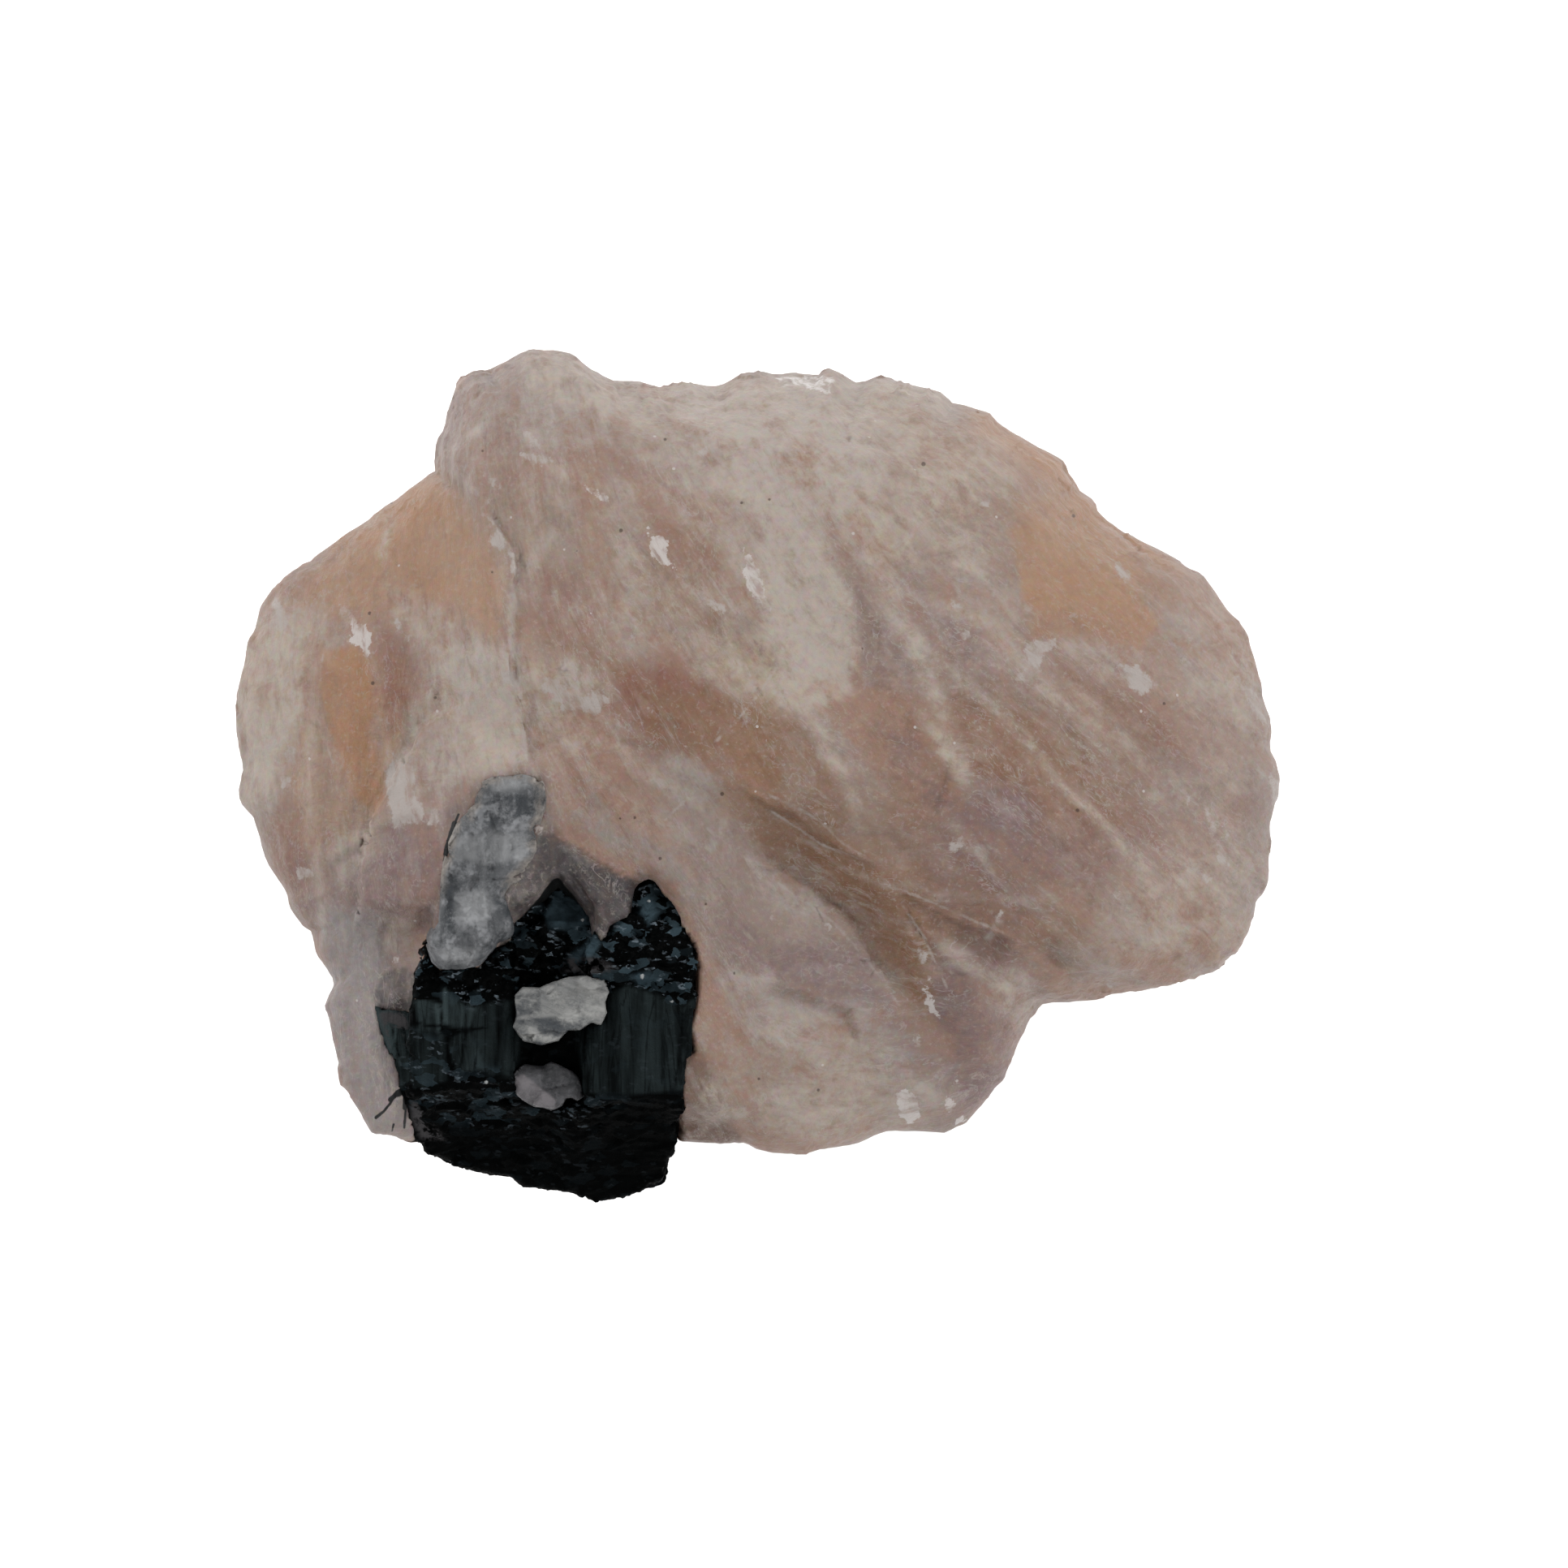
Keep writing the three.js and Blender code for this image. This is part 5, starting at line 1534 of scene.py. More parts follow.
@dataclass(frozen=True)
class QuartzFinish:
    """Cloudy quartz whose tints lie in drawn-out veils, with painted shade and glints, frosted chips and
    specks.
    """

    base: Colour = colour(156, 138, 130)
    blush: Colour = colour(161, 131, 116)
    tints: dict[Mark, Colour] = field(
        default_factory=lambda: {
            Mark.CREAM: colour(188, 176, 164),
            Mark.APRICOT: colour(174, 139, 112),
            Mark.OCHRE: colour(171, 129, 97),
            Mark.YELLOW: colour(172, 155, 118),
            Mark.ROSE: colour(139, 99, 85),
            Mark.MAUVE: colour(132, 109, 108),
            Mark.GREY: colour(74, 70, 72),
            Mark.FROST: colour(186, 176, 170),
            Mark.DARK: colour(106, 80, 66),
            Mark.AMBER: colour(138, 105, 82),
            Mark.ASH: colour(148, 141, 141),
        }
    )
    bites: dict[Mark, float] = field(
        default_factory=lambda: {Mark.APRICOT: 0.6, Mark.OCHRE: 0.6, Mark.GREY: 0.3, Mark.ASH: 0.7}
    )
    chip: Colour = colour(186, 179, 175)
    # Painted glint, on the bright chips and as sparkles.
    glint: Colour = colour(214, 210, 208)
    speck: Colour = colour(70, 50, 42)
    ink: Colour = colour(12, 14, 14)
    gain: Colour = (0.350, 0.339, 0.331)

    def material(self) -> bpy.types.Material:
        """Builds the finish.

        Returns:
            The material, which reads the marks stored on the mesh.
        """
        made, graph, shader, place = new_material("rose_quartz")
        flow = graph.add("Attribute", attribute_name="flow", attribute_type="GEOMETRY").outputs["Vector"]
        flat = graph.vector("MULTIPLY", place, (1.0, 1.0, 0.45))
        grains = self.grains(graph, flow, flat)
        tone = self.veiled(graph, grains, self.ground(graph, grains))
        tone = self.misted(graph, grains, flow, tone)
        tone = self.gritty(graph, grains, flow, flat, tone)
        tinge = graph.noise(place, 1500.0, 2.0).outputs[1]
        spread = {"Vector": tinge, 7: (0.3,) * 3, 8: (0.7,) * 3, 9: (0.93,) * 3, 10: (1.07,) * 3}
        tinge = graph.add("MapRange", spread, data_type="FLOAT_VECTOR").outputs["Vector"]
        tone = graph.vector("MULTIPLY", tone, tinge)
        # Painted sparkles of glint over the stone.
        sparkles = {"Vector": place, "Scale": 620.0, "Size": 0.10, "Share": 0.05}
        sparkle = graph.group(sparkle_group(), sparkles).outputs[0]
        tone = graph.blend(graph.times(sparkle, 0.7), tone, self.lit(self.glint))
        tone, glint = self.chipped(graph, grains, place, tone)
        graph.feed(shader.inputs["Base Color"], tone)
        rough = graph.scaled(grains.middle, 0.16, 0.44)
        graph.feed(shader.inputs["Roughness"], graph.scaled(glint, -0.2, rough))
        height = graph.weighed(grains.cloud, 0.9, grains.fine, 0.3)
        set_bump(graph, shader, height, 0.45, 0.0006)
        shader.inputs["IOR"].default_value = 1.54
        shader.inputs["Specular IOR Level"].default_value = 0.14
        set_glow(shader, 0.08, (1.0, 0.72, 0.62), 0.002)
        return made

    @staticmethod
    def grains(graph: Graph, flow: Socket, flat: Socket) -> Grains:
        """Places the noises that every layer shares.

        Args:
            graph: The material's graph.
            flow: Places along the flow of the stone.
            flat: Places on the piece, pressed flat.

        Returns:
            The grains.
        """
        grain = grain_group()
        broad, middle, fine = (
            graph.strands(grain, flow, scale, stretch)
            for scale, stretch in ((90.0, 3.0), (280.0, 4.0), (900.0, 3.5))
        )
        cloud = graph.noise(flat, 420.0, 6.0, 0.75, 0.4).outputs[0]
        mottle = graph.noise(flat, 150.0, 6.0, 0.72, 0.6).outputs[0]
        return Grains(broad, middle, fine, cloud, mottle)

    def ground(self, graph: Graph, grains: Grains) -> Socket:
        """Mixes the colour under the veils.

        Args:
            graph: The material's graph.
            grains: The stone's grain.

        Returns:
            The colour.
        """
        hue = graph.weighed(grains.broad, 0.5, grains.cloud, 0.6)
        hue = graph.ramp(graph.scaled(grains.middle, 0.2, hue), 0.5, 0.8)
        tone = graph.blend(hue, self.lit(self.blush), self.lit(self.base))
        hard = graph.ramp(grains.mottle, 0.52, 0.55)
        soft = graph.ramp(grains.mottle, 0.49, 0.60)
        patch = graph.weighed(hard, 0.08, soft, 0.10)
        return graph.blend(patch, tone, self.lit(self.tints[Mark.CREAM]))

    def veiled(self, graph: Graph, grains: Grains, tone: Socket) -> Socket:
        """Lays the veils of tint, torn along the grain.

        Args:
            graph: The material's graph.
            grains: The stone's grain.
            tone: The colour so far.

        Returns:
            The colour.
        """
        tint = tint_group()
        torn = graph.weighed(graph.ramp(grains.cloud, 0.4, 0.6), 0.28, grains.middle, 0.37)
        torn = graph.scaled(grains.fine, 0.35, torn)
        for mark in Mark:
            veil = {
                "Colour": tone, "Tint": (*self.lit(self.tints[mark]), 1.0),
                "Mask": graph.attribute(mark.value), "Grain": torn,
                "Bite": self.bites.get(mark, 0.9),
            }
            tone = graph.group(tint, veil).outputs[0]
        return tone

    def misted(self, graph: Graph, grains: Grains, flow: Socket, tone: Socket) -> Socket:
        """Lays pale wisps and mist where the stone is milky, then shade and silk all over.

        Args:
            graph: The material's graph.
            grains: The stone's grain.
            flow: Places along the flow of the stone.
            tone: The colour so far.

        Returns:
            The colour.
        """
        frost, dark = self.lit(self.tints[Mark.FROST]), self.lit(self.tints[Mark.DARK])
        clear = graph.attribute(Mark.APRICOT.value)
        for mark in (Mark.OCHRE, Mark.ROSE):
            clear = graph.number("MAXIMUM", clear, graph.attribute(mark.value))
        milky = graph.scaled(clear, -0.75, 1.0)
        filament = wisp_group()
        wide = graph.strands(filament, flow, 90.0, 3.0, Width=0.05)
        thin = graph.strands(filament, flow, 300.0, 2.6, Width=0.04)
        wide = graph.times(wide, graph.ramp(grains.middle, 0.15, 0.85))
        thin = graph.times(thin, graph.ramp(grains.broad, 0.2, 0.8))
        wisps = graph.times(graph.scaled(thin, 0.7, wide, clamp=True), milky)
        mist = graph.times(graph.ramp(grains.cloud, 0.53, 0.59), graph.ramp(grains.middle, 0.25, 0.8))
        shade = graph.times(graph.ramp(grains.fine, 0.6, 0.0), graph.ramp(grains.cloud, 0.58, 0.36))
        silk = graph.times(graph.ramp(grains.fine, 0.5, 1.0), graph.ramp(grains.middle, 0.1, 0.9))
        for layer, strength, tint in (
            (wisps, 0.24, frost), (graph.times(mist, milky), 0.16, frost), (shade, 0.16, dark),
            (silk, 0.2, frost),
        ):
            tone = graph.blend(graph.times(layer, strength), tone, tint)
        return tone

    def gritty(
        self, graph: Graph, grains: Grains, flow: Socket, flat: Socket, tone: Socket
    ) -> Socket:
        """Lays hairlines and the grit of the broken surface.

        Args:
            graph: The material's graph.
            grains: The stone's grain.
            flow: Places along the flow of the stone.
            flat: Places on the piece, pressed flat.
            tone: The colour so far.

        Returns:
            The colour.
        """
        chip = self.lit(self.chip)
        hair = graph.strands(wisp_group(), flow, 800.0, 3.0, Width=0.02)
        hair = graph.times(hair, graph.ramp(grains.middle, 0.35, 0.8))
        grit = graph.noise(flat, 2400.0, 3.0, 0.6).outputs[0]
        for layer, strength, tint in (
            (hair, 0.5, chip), (graph.ramp(grit, 0.54, 0.72), 0.30, chip),
            (graph.ramp(grit, 0.48, 0.28), 0.10, self.lit(self.tints[Mark.DARK])),
        ):
            tone = graph.blend(graph.times(layer, strength), tone, tint)
        return tone

    def chipped(
        self, graph: Graph, grains: Grains, place: Socket, tone: Socket
    ) -> tuple[Socket, Socket]:
        """Lays pale crests that carry painted highlights, frosted chips, painted glints, specks and ink.

        Args:
            graph: The material's graph.
            grains: The stone's grain.
            place: Places on the piece.
            tone: The colour so far.

        Returns:
            The colour and where the glints are.
        """
        crisp = crisp_group()
        feather = graph.ramp(graph.weighed(grains.fine, 0.5, grains.cloud, 0.6), 0.35, 0.7)
        flake, glint, speck, ink, crest_and_highlight = (
            graph.frayed(crisp, name, place, fray, edge)
            for name, fray, edge in (
                ("flake", 0.55, 0.16), ("glint", 0.42, 0.05), ("speck", 0.03, 0.05),
                ("ink", 0.05, 0.05), ("crest_and_highlight", 0.14, 0.12),
            )
        )
        glint = graph.times(glint, graph.scaled(feather, 0.7, 0.15))
        for share, tint in (
            (graph.times(crest_and_highlight, graph.times(feather, 0.55)), self.chip),
            (graph.times(flake, graph.scaled(feather, 0.65, 0.3)), self.chip),
            (glint, self.glint), (graph.times(speck, 0.75), self.speck), (ink, self.ink),
        ):
            tone = graph.blend(share, tone, self.lit(tint))
        return tone, glint

    def lit(self, tone: Colour) -> Colour:
        """Scales a tint to the strength of the studio's light."""
        return tuple(value * gain for value, gain in zip(tone, self.gain))


@dataclass
class RoseQuartzMass:
    """The main lump: an even skin over the faceted solid, with its broken edges and veils."""

    cell: float = 0.95
    rounds: int = 4
    lean: float = 0.12
    edge_centre: Point = (-0.3, 1.9)
    edge_depth: float = 7.0
    margin: float = 0.3
    marked_from: float = 5.0
    ledges: tuple[Ledge, ...] = ()
    finish: QuartzFinish = QuartzFinish()

    def build(self) -> bpy.types.Object:
        """Builds the mesh and dresses it.

        Returns:
            The finished piece.
        """
        piece = joined_copy("rose_quartz_mass", ["rose_quartz", *INNER_NODES])
        even_mesh(piece, self.cell, self.rounds)
        keep_outer_shell(piece)
        refine_upper(piece, self.lean)
        self.refine_marks(piece)
        sculpt = Sculpt(piece)
        fit_to_edge(sculpt, STONE_EDGE, self.edge_centre, self.edge_depth)
        self.bank_up(sculpt)
        self.break_surface(sculpt)
        self.lay_marks(sculpt)
        self.make_room(sculpt)
        sculpt.finish()
        piece.data.materials.append(self.finish.material())
        return piece

    def refine_marks(self, piece: bpy.types.Object) -> None:
        """Splits the faces under specks and fine lines, which are smaller than a face."""
        shape = bmesh.new()
        shape.from_mesh(piece.data)
        spots = np.array([vert.co[:] for vert in shape.verts]) / MM
        flat = spots[:, :2]
        depth = np.maximum(deepest_dot(SPECKS, flat), deepest_on(INK + PALE_CRESTS_AND_HIGHLIGHTS, flat))
        chosen = set(np.nonzero((depth > -self.margin) & (spots[:, 2] > self.marked_from))[0])
        edges = [e for e in shape.edges if e.verts[0].index in chosen or e.verts[1].index in chosen]
        bmesh.ops.subdivide_edges(shape, edges=edges, cuts=3, use_grid_fill=True)
        bmesh.ops.triangulate(shape, faces=[face for face in shape.faces if len(face.verts) > 4])
        shape.to_mesh(piece.data)
        shape.free()

    @staticmethod
    def bank_up(sculpt: Sculpt) -> None:
        """Raises the skin around the grey cap and on the right of the tourmaline."""
        along = sculpt.places[:, 1].copy()
        seat = CAP_SEAT + CAP_RISE * along
        raise_beside(sculpt, CAP_EDGE, seat, 0.65, 28.0, smooth_step(CAP_FOOT - 4.0, CAP_FOOT, along))
        ends = smooth_step(-35.5, -32.0, along) * smooth_step(-12.0, -16.0, along)
        ends *= sculpt.places[:, 0] > FLANK_LEFT
        seat = FLANK_SEAT + FLANK_RISE * along
        raise_beside(sculpt, BLACK_EDGE, seat, 0.4, 24.0, ends)

    def break_surface(self, sculpt: Sculpt) -> None:
        """Gives the skin its broken edges, shell ripples and grain."""
        flat = sculpt.places[:, :2]
        upper = smooth_step(0.0, 0.5, sculpt.normals()[:, 2])
        free = smooth_step(0.3, 3.0, sculpt.places[:, 2])
        lift = np.zeros(sculpt.count)
        warp = waves(sculpt.places, 6.0, 3.0, 3)
        for ledge in self.ledges:
            _, right, along = beside_line(ledge.route, flat)
            right = right + 0.5 * warp
            ends = smooth_step(0.0, 0.15, along) * smooth_step(1.0, 0.85, along)
            sunk = smooth_step(0.0, ledge.width, right)
            sunk -= smooth_step(ledge.width, ledge.width + ledge.run, right)
            lift -= ledge.drop * sunk * ends
        sculpt.places[:, 2] += lift * upper * free
        flowing = self.along_flow(sculpt.places)
        sculpt.keep_places("flow", flowing)
        flowing = flowing * (0.45, 1.0, 0.5)
        rough = 0.35 * waves(sculpt.places, 11.0, 1.0, 3) * upper
        rough += 0.14 * waves(flowing, 2.4, 2.0, 4)
        rough += 0.36 * shards(flowing, 3.6, 4.0)
        rough += 0.12 * shards(flowing, 1.5, 5.0)
        sculpt.swell(rough * free)
        sculpt.places[:, 2] = np.maximum(sculpt.places[:, 2], 0.0)

    @staticmethod
    def make_room(sculpt: Sculpt) -> None:
        """Draws the skin in under the tourmaline and the pieces on it, which come through."""
        flat = sculpt.places[:, :2]
        black = inside_outline(BLACK_EDGE, flat)
        cap = inside_outline(CAP_EDGE, flat)
        upper = smooth_step(-0.1, 0.3, sculpt.normals()[:, 2]) * (sculpt.places[:, 2] > 12.0)
        sunk = 2.5 * smooth_step(0.0, 0.6, np.maximum(black, cap - 0.6))
        sunk += 3.0 * smooth_step(0.6, 2.0, black)
        sculpt.places[:, 2] -= sunk * upper

    @staticmethod
    def along_flow(places: np.ndarray) -> np.ndarray:
        """Turns places so that X runs along the flow of the stone."""
        turn = np.interp(places[:, 0], FLOW_PLACES, FLOW_TURNS)
        away = places[:, 0] - FLOW_PIVOT
        x = np.cos(turn) * away - np.sin(turn) * places[:, 1]
        y = np.sin(turn) * away + np.cos(turn) * places[:, 1]
        return np.stack([x, y, places[:, 2]], 1)

    def lay_marks(self, sculpt: Sculpt) -> None:
        """Stores the veils, painted shade and glints, chips, specks and fine lines on the mesh."""
        flat = sculpt.places[:, :2]
        top = smooth_step(-0.1, 0.2, sculpt.normals()[:, 2])
        for mark in Mark:
            held = np.zeros(sculpt.count)
            for veil in VEILS[mark]:
                blur = veil.blur * STEP
                depth = inside_outline(veil.outline, flat)
                held = laid_over(held, veil.strength * smooth_step(-blur, blur, depth))
            for streak in STREAKS.get(mark, ()):
                away, _, along = beside_line(streak.route, flat)
                ends = smooth_step(0.0, 0.2, along) * smooth_step(1.0, 0.8, along)
                across = smooth_step(1.6 * streak.width * STEP, 0.0, away)
                held = laid_over(held, streak.strength * ends * across)
            sculpt.keep(mark.value, held * top)
        ink = np.maximum(deepest_on(INK, flat), inside_outline(BLACK_EDGE, flat) - 0.4)
        for name, depth in (
            ("flake", deepest_in(FLAKES, flat)), ("glint", deepest_in(GLINTS, flat)),
            ("speck", deepest_dot(SPECKS, flat)), ("crest_and_highlight", deepest_on(PALE_CRESTS_AND_HIGHLIGHTS, flat)), ("ink", ink),
        ):
            sculpt.keep(name, np.where(top > 0.3, depth, OUTSIDE))


# ---- Black tourmaline ----


@dataclass(frozen=True)
class TourmalineFinish:
    """Near-black tourmaline: painted sheen striped along the crystals, painted glints on the breaks."""

    dark: Colour = (0.0004, 0.0005, 0.0005)
    # The face, sheen and fleck colours are painted reflection: the crystal faces' sheen and glints on the
    # breaks.
    face: Colour = colour(34, 41, 42)
    sheen: Colour = colour(34, 44, 49)
    glint_fleck: Colour = colour(72, 80, 86)
    dot: Colour = colour(110, 112, 112)
    pale: Colour = colour(42, 41, 42)

    def material(self) -> bpy.types.Material:
        """Builds the finish.

        Returns:
            The material, which reads where the faces, breaks and dots are from the mesh.
        """
        made, graph, shader, place = new_material("black_tourmaline")
        grain, glint_shards_tree = grain_group(), glint_shard_group()
        stripe = graph.strands(grain, place, 800.0, 16.0, Turn=1.57)
        line = graph.strands(wisp_group(), place, 420.0, 22.0, Turn=1.57, Width=0.03)
        shard = graph.strands(grain, place, 700.0, 1.6, Turn=0.6)
        # Painted glints on the breaks, broad and small.
        wide = graph.strands(glint_shards_tree, place, 1100.0, 1.8, Share=0.28)
        small = graph.strands(glint_shards_tree, place, 3600.0, 2.4, Share=0.18)
        face, broken = graph.attribute("face"), graph.attribute("broken")
        striped = graph.times(face, graph.scaled(stripe, 0.95, 0.25), clamp=True)
        striped = graph.times(striped, graph.scaled(line, -0.6, 1.0))
        torn = graph.scaled(broken, 0.93, 0.05)
        glint_fleck = graph.times(graph.times(small, torn), graph.ramp(shard, 0.35, 0.8))
        grey = graph.times(graph.attribute("grey"), graph.scaled(shard, 0.5, 0.6), clamp=True)
        pale = graph.times(graph.attribute("pale"), graph.ramp(shard, 0.3, 0.6))
        dot = graph.frayed(crisp_group(), "dot", place, 0.06, 0.05)
        tone = self.dark
        for share, tint in (
            (striped, self.face), (graph.times(wide, torn), self.sheen), (glint_fleck, self.glint_fleck),
            (grey, self.sheen), (pale, self.pale), (dot, self.dot),
        ):
            tone = graph.blend(share, tone, tint)
        graph.feed(shader.inputs["Base Color"], tone)
        graph.feed(shader.inputs["Roughness"], graph.scaled(broken, -0.28, 0.62))
        height = graph.weighed(graph.times(stripe, face), 0.5, shard, 0.5)
        set_bump(graph, shader, height, 0.6, 0.0004)
        shader.inputs["Specular IOR Level"].default_value = 0.006
        return made


@dataclass
class TourmalineCluster:
    """The bundle of black crystals: striped prisms above a rough lower end."""

    cell: float = 0.3
    rounds: int = 1
    grow: float = 0.3
    finish: TourmalineFinish = TourmalineFinish()

    def build(self) -> bpy.types.Object:
        """Builds the mesh and dresses it.

        Returns:
            The finished piece.
        """
        piece = joined_copy("tourmaline_cluster", ["black_tourmaline"])
        even_mesh(piece, self.cell, self.rounds)
        sculpt = Sculpt(piece)
        face = np.zeros(sculpt.count)
        for pale, outline in SHEENED_CRYSTAL_FACES:
            face = np.maximum(face, pale * inside_any(sculpt, (outline,), 0.25))
        for width, route in CRACKS:
            away = beside_line(route, sculpt.places[:, :2])[0] - width * STEP
            face *= smooth_step(-0.1, 0.15, away)
        dim = 0.45 * inside_any(sculpt, DIM_ZONES, 0.5)
        broken = np.maximum(inside_any(sculpt, BREAK_ZONES, 0.5), dim)
        rough = inside_any(sculpt, ROUGH_ZONES, 0.5)
        grey = inside_any(sculpt, GREY_SHEEN_FACETS, 0.3)
        places = sculpt.places
        bumps = np.full(sculpt.count, self.grow)
        stripes = waves(places * (1.0, 0.06, 1.0), 1.1, 5.0, 4)
        bumps += 0.16 * stripes * np.minimum(face * 2.5, 1.0)
        bumps += 2.2 * shards(places * (0.7, 1.0, 1.0), 2.3, 6.0) * broken
        bumps += 0.8 * shards(places, 0.9, 7.0) * broken
        bumps += 0.9 * shards(places * (0.6, 1.0, 1.0), 2.0, 8.0) * rough
        bumps += 0.3 * shards(places, 0.8, 9.0) * rough
        sculpt.swell(bumps)
        sink_outside(sculpt, BLACK_EDGE, 6.0)
        for name, values in (
            ("face", face), ("broken", broken), ("grey", grey),
            ("pale", inside_any(sculpt, PALE_FACETS, 0.3)),
            ("dot", deepest_dot(WHITE_DOTS, places[:, :2])),
        ):
            sculpt.keep(name, values)
        sculpt.finish()
        piece.data.materials.append(self.finish.material())
        return piece


# ---- Grey and white quartz ----


@dataclass(frozen=True)
class PaleQuartzFinish:
    """Pale quartz with fibres or layers drawn out along one direction, and painted shade and highlights."""

    name: str
    low: Colour
    high: Colour
    turn: float
    stretch: float = 4.0
    scale: float = 450.0
    rough: float = 0.42
    veined: float = 0.6
    layered: float = 0.3
    haze: Colour = colour(104, 98, 92)
    # Painted shade, which also darkens the veins, and painted highlight.
    shade: Colour = colour(36, 39, 42)
    light: Colour = colour(102, 103, 104)

    def material(self) -> bpy.types.Material:
        """Builds the finish.

        Returns:
            The material.
        """
        made, graph, shader, place = new_material(self.name)
        fibre = graph.strands(grain_group(), place, self.scale, self.stretch, Turn=self.turn)
        cloud = graph.noise(place, self.scale * 0.9, 9.0, 0.76).outputs[0]
        share = graph.weighed(
            fibre, self.layered, graph.ramp(cloud, 0.42, 0.6), 1.0 - self.layered, clamp=True
        )
        shadow = graph.times(graph.attribute("shadow"), graph.ramp(share, 1.1, 0.1), clamp=True)
        vein = graph.strands(wisp_group(), place, self.scale * 0.6, 1.6, Turn=self.turn, Width=0.025)
        vein = graph.times(vein, graph.ramp(cloud, 0.56, 0.42))
        # Painted highlight where the facets face the light.
        bright = graph.times(graph.attribute("bright"), graph.scaled(fibre, 0.5, 0.45))
        haze = graph.times(graph.attribute("haze"), graph.ramp(cloud, 0.4, 0.56))
        tone = self.low
        for layer, tint in (
            (share, self.high), (shadow, self.shade), (graph.times(vein, self.veined), self.shade),
            (bright, self.light), (haze, self.haze),
        ):
            tone = graph.blend(layer, tone, tint)
        graph.feed(shader.inputs["Base Color"], tone)
        shader.inputs["Roughness"].default_value = self.rough
        set_bump(graph, shader, share, 0.6, 0.0004)
        shader.inputs["Specular IOR Level"].default_value = 0.2
        set_glow(shader, 0.1, (1.0, 0.95, 0.95), 0.0015)
        return made


@dataclass
class QuartzBit:
    """A small quartz piece beside or on the tourmaline."""

    node: str
    name: str
    finish: PaleQuartzFinish
    grain: Callable[[np.ndarray], np.ndarray]
    edge: Line = ()
    cell: float = 0.2
    rounds: int = 1
    grow: float = 0.8
    blur: float = 0.12
    haze: float = 0.0
    soft: float = 0.5
    shadows: tuple[Line, ...] = ()
    highlights: tuple[Line, ...] = ()

    def build(self) -> bpy.types.Object:
        """Builds the mesh and dresses it.

        Returns:
            The finished piece.
        """
        piece = joined_copy(self.name, [self.node])
        even_mesh(piece, self.cell, self.rounds)
        grown = Sculpt(piece)
        grown.swell(np.full(grown.count, self.grow))
        grown.finish()
        even_mesh(piece, self.cell, self.rounds)
        sculpt = Sculpt(piece)
        # Where the painted shadows and highlights lie.
        sculpt.keep("shadow", inside_any(sculpt, self.shadows, self.soft))
        sculpt.keep("bright", inside_any(sculpt, self.highlights, self.soft))
        sculpt.swell(self.grain(sculpt.places) * smooth_step(0.1, 0.7, sculpt.normals()[:, 2]))
        if self.haze:
            self.ease_into_stone(sculpt)
        sink_outside(sculpt, self.edge, 8.0, self.blur, 0.04)
        sculpt.finish()
        piece.data.materials.append(self.finish.material())
        return piece

    def ease_into_stone(self, sculpt: Sculpt) -> None:
        """Lowers the rim to the stone around it, and stores where the two blend."""
        depth = inside_outline(self.edge, sculpt.places[:, :2])
        depth += 0.8 * waves(sculpt.places, 2.0, 23.0, 3)
        along = sculpt.places[:, 1]
        above = smooth_step(CAP_FOOT - 1.0, CAP_FOOT + 2.0, along)
        rim = CAP_SEAT + CAP_RISE * along + 0.1 + np.maximum(depth, 0.0)
        drop = np.maximum(sculpt.places[:, 2] - rim, 0.0)
        sculpt.places[:, 2] -= drop * above * (depth > -1.0)
        sculpt.keep("haze", self.haze * above * smooth_step(1.2, 0.0, depth))


def fibres(places: np.ndarray) -> np.ndarray:
    """Upright fibres with a lumpy surface, in millimetres of height."""
    fine = waves(places * (1.0, 0.35, 0.6), 1.2, 11.0, 4)
    broken = shards(places * (1.0, 0.6, 0.6), 2.2, 15.0)
    return 0.30 * fine + 0.35 * waves(places, 3.0, 12.0, 2) + 0.9 * broken


def layers(places: np.ndarray) -> np.ndarray:
    """Level layers with torn edges, in millimetres of height."""
    fine = waves(places * (0.35, 1.0, 0.6), 1.1, 13.0, 4)
    broken = shards(places * (0.6, 1.0, 0.6), 2.4, 16.0)
    return 0.1 * fine + 0.2 * waves(places, 2.5, 14.0, 2) + 0.7 * broken


# ---- Studio ----


@dataclass(frozen=True)
class SoftBox:
    """A large rectangular light: where it stands, its size and its power."""

    name: str
    place: tuple[float, float, float]
    size: tuple[float, float]
    power: float


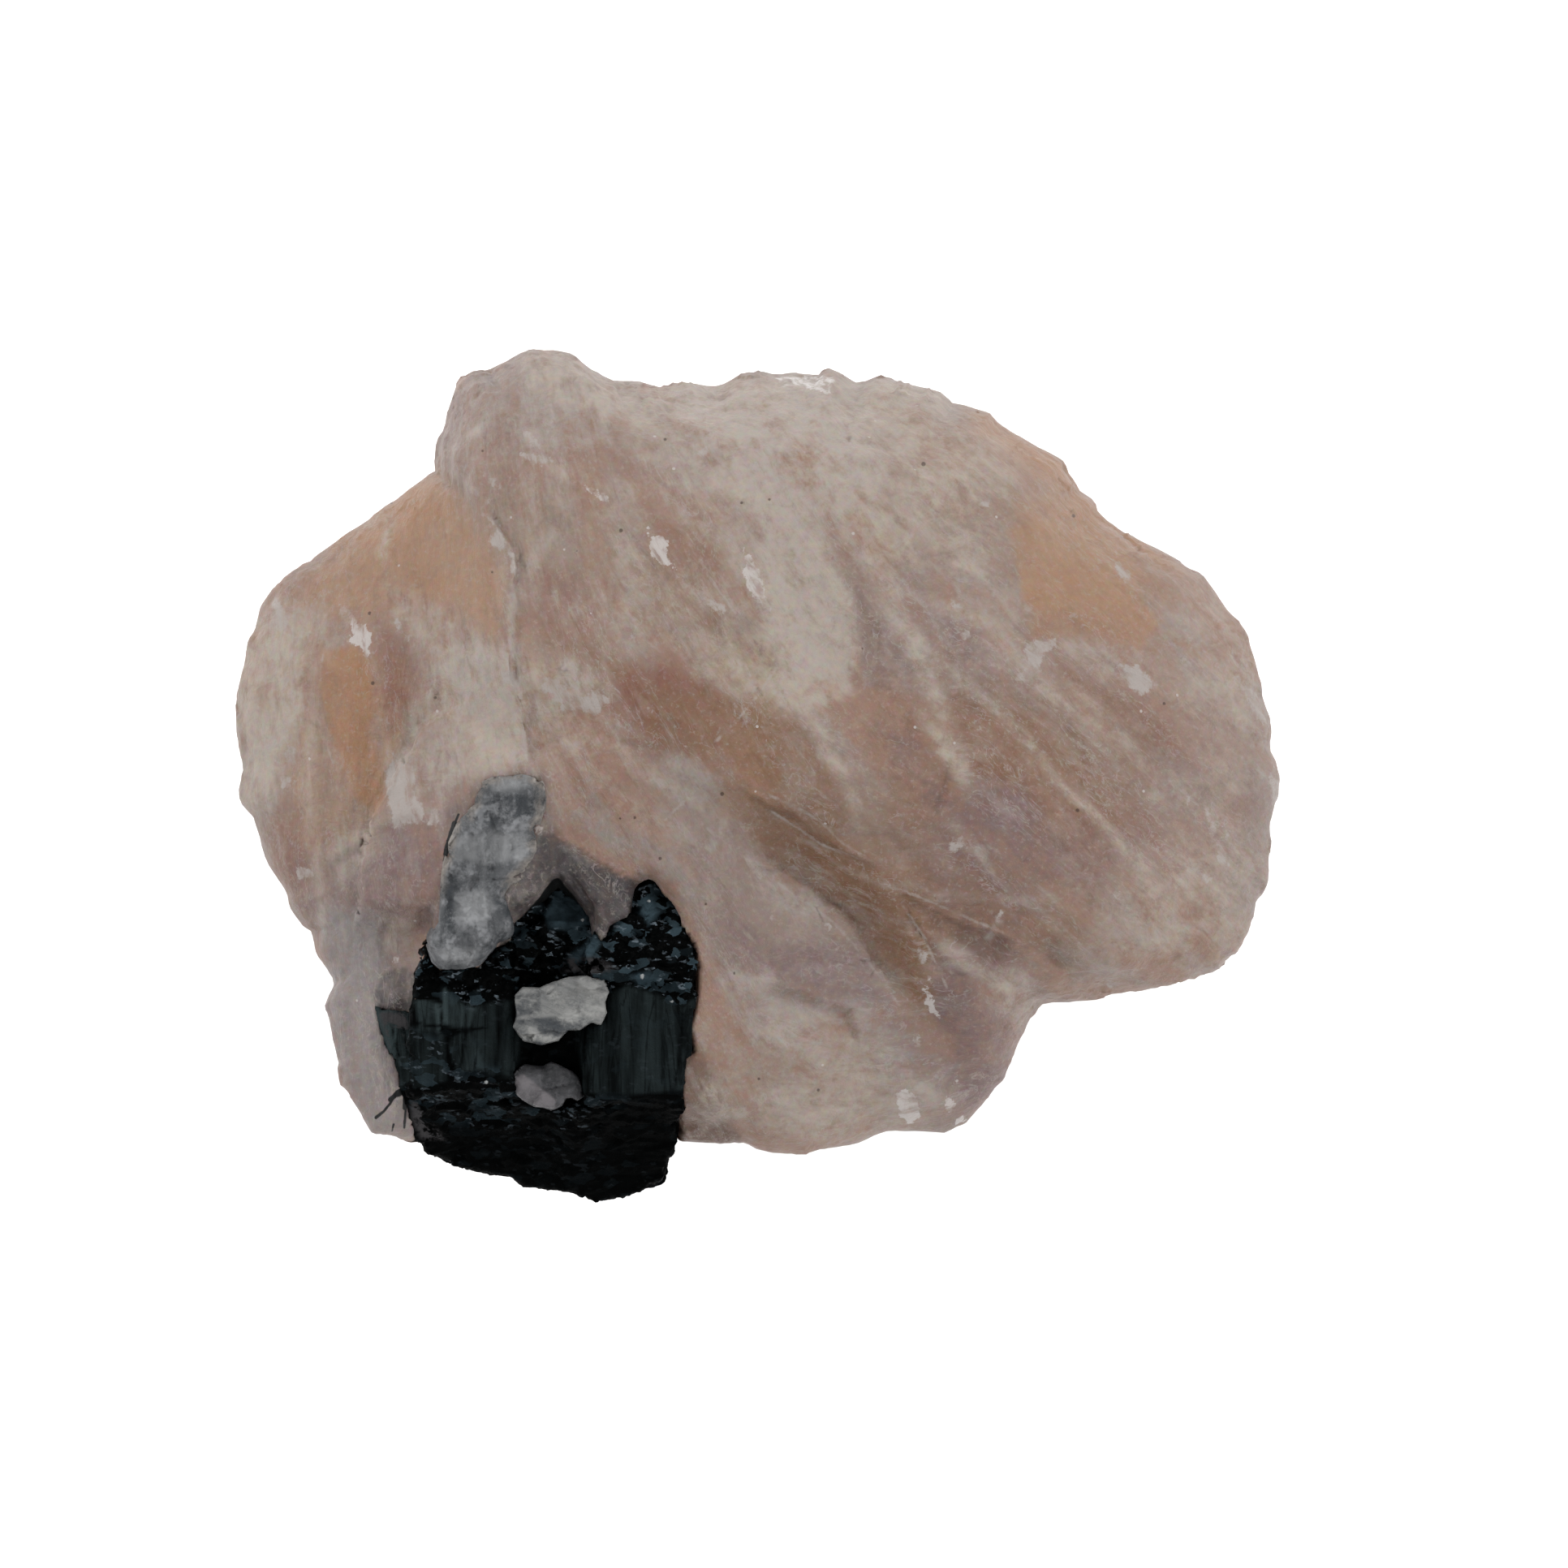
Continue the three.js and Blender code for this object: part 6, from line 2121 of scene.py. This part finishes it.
@dataclass(frozen=True)
class Studio:
    """A pale floor, soft light from all round and a camera straight above."""

    floor_size: float = 4.0
    floor_tone: float = 0.92
    world: float = 0.4
    boxes: tuple[SoftBox, ...] = (
        SoftBox("key", (-0.15, 0.90, 0.72), (1.0, 0.6), 15.0),
        SoftBox("left", (-0.90, 0.10, 0.55), (0.8, 0.6), 12.0),
        SoftBox("right", (0.90, 0.15, 0.55), (0.8, 0.6), 13.0),
        SoftBox("near", (0.25, -0.85, 0.60), (0.9, 0.6), 10.0),
    )
    centre: Point = (0.0026, -0.0009)
    lens: float = 1000.0
    wide: float = 0.1575
    level: float = 0.021

    def build(self) -> None:
        """Builds the floor, the lights and the camera."""
        scene = bpy.context.scene
        shape = bmesh.new()
        bmesh.ops.create_grid(shape, x_segments=1, y_segments=1, size=self.floor_size / 2)
        mesh = bpy.data.meshes.new("floor")
        shape.to_mesh(mesh)
        shape.free()
        floor = bpy.data.objects.new("floor", mesh)
        scene.collection.objects.link(floor)
        paper = bpy.data.materials.new("paper")
        paper.use_nodes = True
        shader = paper.node_tree.nodes["Principled BSDF"]
        shader.inputs["Base Color"].default_value = (*[self.floor_tone] * 3, 1.0)
        shader.inputs["Roughness"].default_value = 0.9
        shader.inputs["Specular IOR Level"].default_value = 0.0
        mesh.materials.append(paper)
        world = bpy.data.worlds.new("studio")
        world.use_nodes = True
        world.node_tree.nodes["Background"].inputs[0].default_value = (1.0, 1.0, 1.0, 1.0)
        world.node_tree.nodes["Background"].inputs[1].default_value = self.world
        scene.world = world
        for box in self.boxes:
            self.light(box)
        eye = bpy.data.cameras.new("camera")
        eye.lens = self.lens
        eye.sensor_width = 36.0
        eye.clip_end = 10.0
        camera = bpy.data.objects.new("camera", eye)
        camera.location = (*self.centre, self.level + self.wide * self.lens / eye.sensor_width)
        scene.collection.objects.link(camera)
        scene.camera = camera
        scene.view_settings.view_transform = "Standard"

    @staticmethod
    def light(box: SoftBox) -> None:
        """Places one light and turns it to the stone."""
        lamp = bpy.data.lights.new(box.name, "AREA")
        lamp.shape = "RECTANGLE"
        lamp.size, lamp.size_y = box.size
        lamp.energy = box.power
        made = bpy.data.objects.new(box.name, lamp)
        made.location = box.place
        made.rotation_euler = (-Vector(box.place)).to_track_quat("-Z", "Y").to_euler()
        bpy.context.scene.collection.objects.link(made)


# ---- The specimen ----


def report(piece: bpy.types.Object) -> None:
    """Logs a finished piece's name and face count."""
    LOG.info("%s: %d faces", piece.name, len(piece.data.polygons))


def main() -> None:
    """Builds the specimen's pieces in order and sets up the studio."""
    logging.basicConfig(level=logging.INFO, format="%(name)s %(message)s")
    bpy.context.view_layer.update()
    white = PaleQuartzFinish(
        "white_quartz", colour(56, 57, 58), colour(104, 104, 102), 0.25, stretch=9.0, veined=0.35,
        layered=0.65,
    )
    cap = PaleQuartzFinish("grey_cap_quartz", colour(40, 42, 44), colour(92, 93, 95), 1.5)
    grey = PaleQuartzFinish(
        "grey_chip_quartz", colour(28, 28, 30), colour(50, 50, 52), -0.6, stretch=1.8,
        light=colour(78, 75, 77), shade=colour(24, 25, 27),
    )
    cap_bit = QuartzBit(
        "grey_quartz_cap", "grey_cap", cap, fibres, CAP_EDGE, blur=0.5, haze=0.9,
        shadows=CAP_SHADOWS, highlights=CAP_HIGHLIGHTS,
    )
    white_bit = QuartzBit(
        "white_quartz_chip", "white_chip", white, layers, WHITE_CHIP_EDGE, cell=0.16, rounds=3,
        grow=1.3, soft=0.15, shadows=CHIP_SHADOWS,
    )
    grey_bit = QuartzBit(
        "grey_quartz_chip", "grey_chip", grey, layers, GREY_CHIP_EDGE, cell=0.16, rounds=3,
        soft=0.12, shadows=GREY_CHIP_SHADOWS, highlights=GREY_CHIP_HIGHLIGHTS,
    )
    builds = (
        (RoseQuartzMass(ledges=LEDGES), "rose_quartz", "rose_quartz"),
        (TourmalineCluster(), "black_tourmaline", "black_tourmaline"),
        (cap_bit, "grey_quartz_cap", "grey_quartz"),
        (white_bit, "white_quartz_chip", "white_quartz"),
        (grey_bit, "grey_quartz_chip", "grey_quartz"),
    )
    for build, node, slot in builds:
        piece = build.build()
        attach(piece, "root")
        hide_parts(node)
        report(piece)
    Studio().build()


if __name__ == "__main__":
    main()
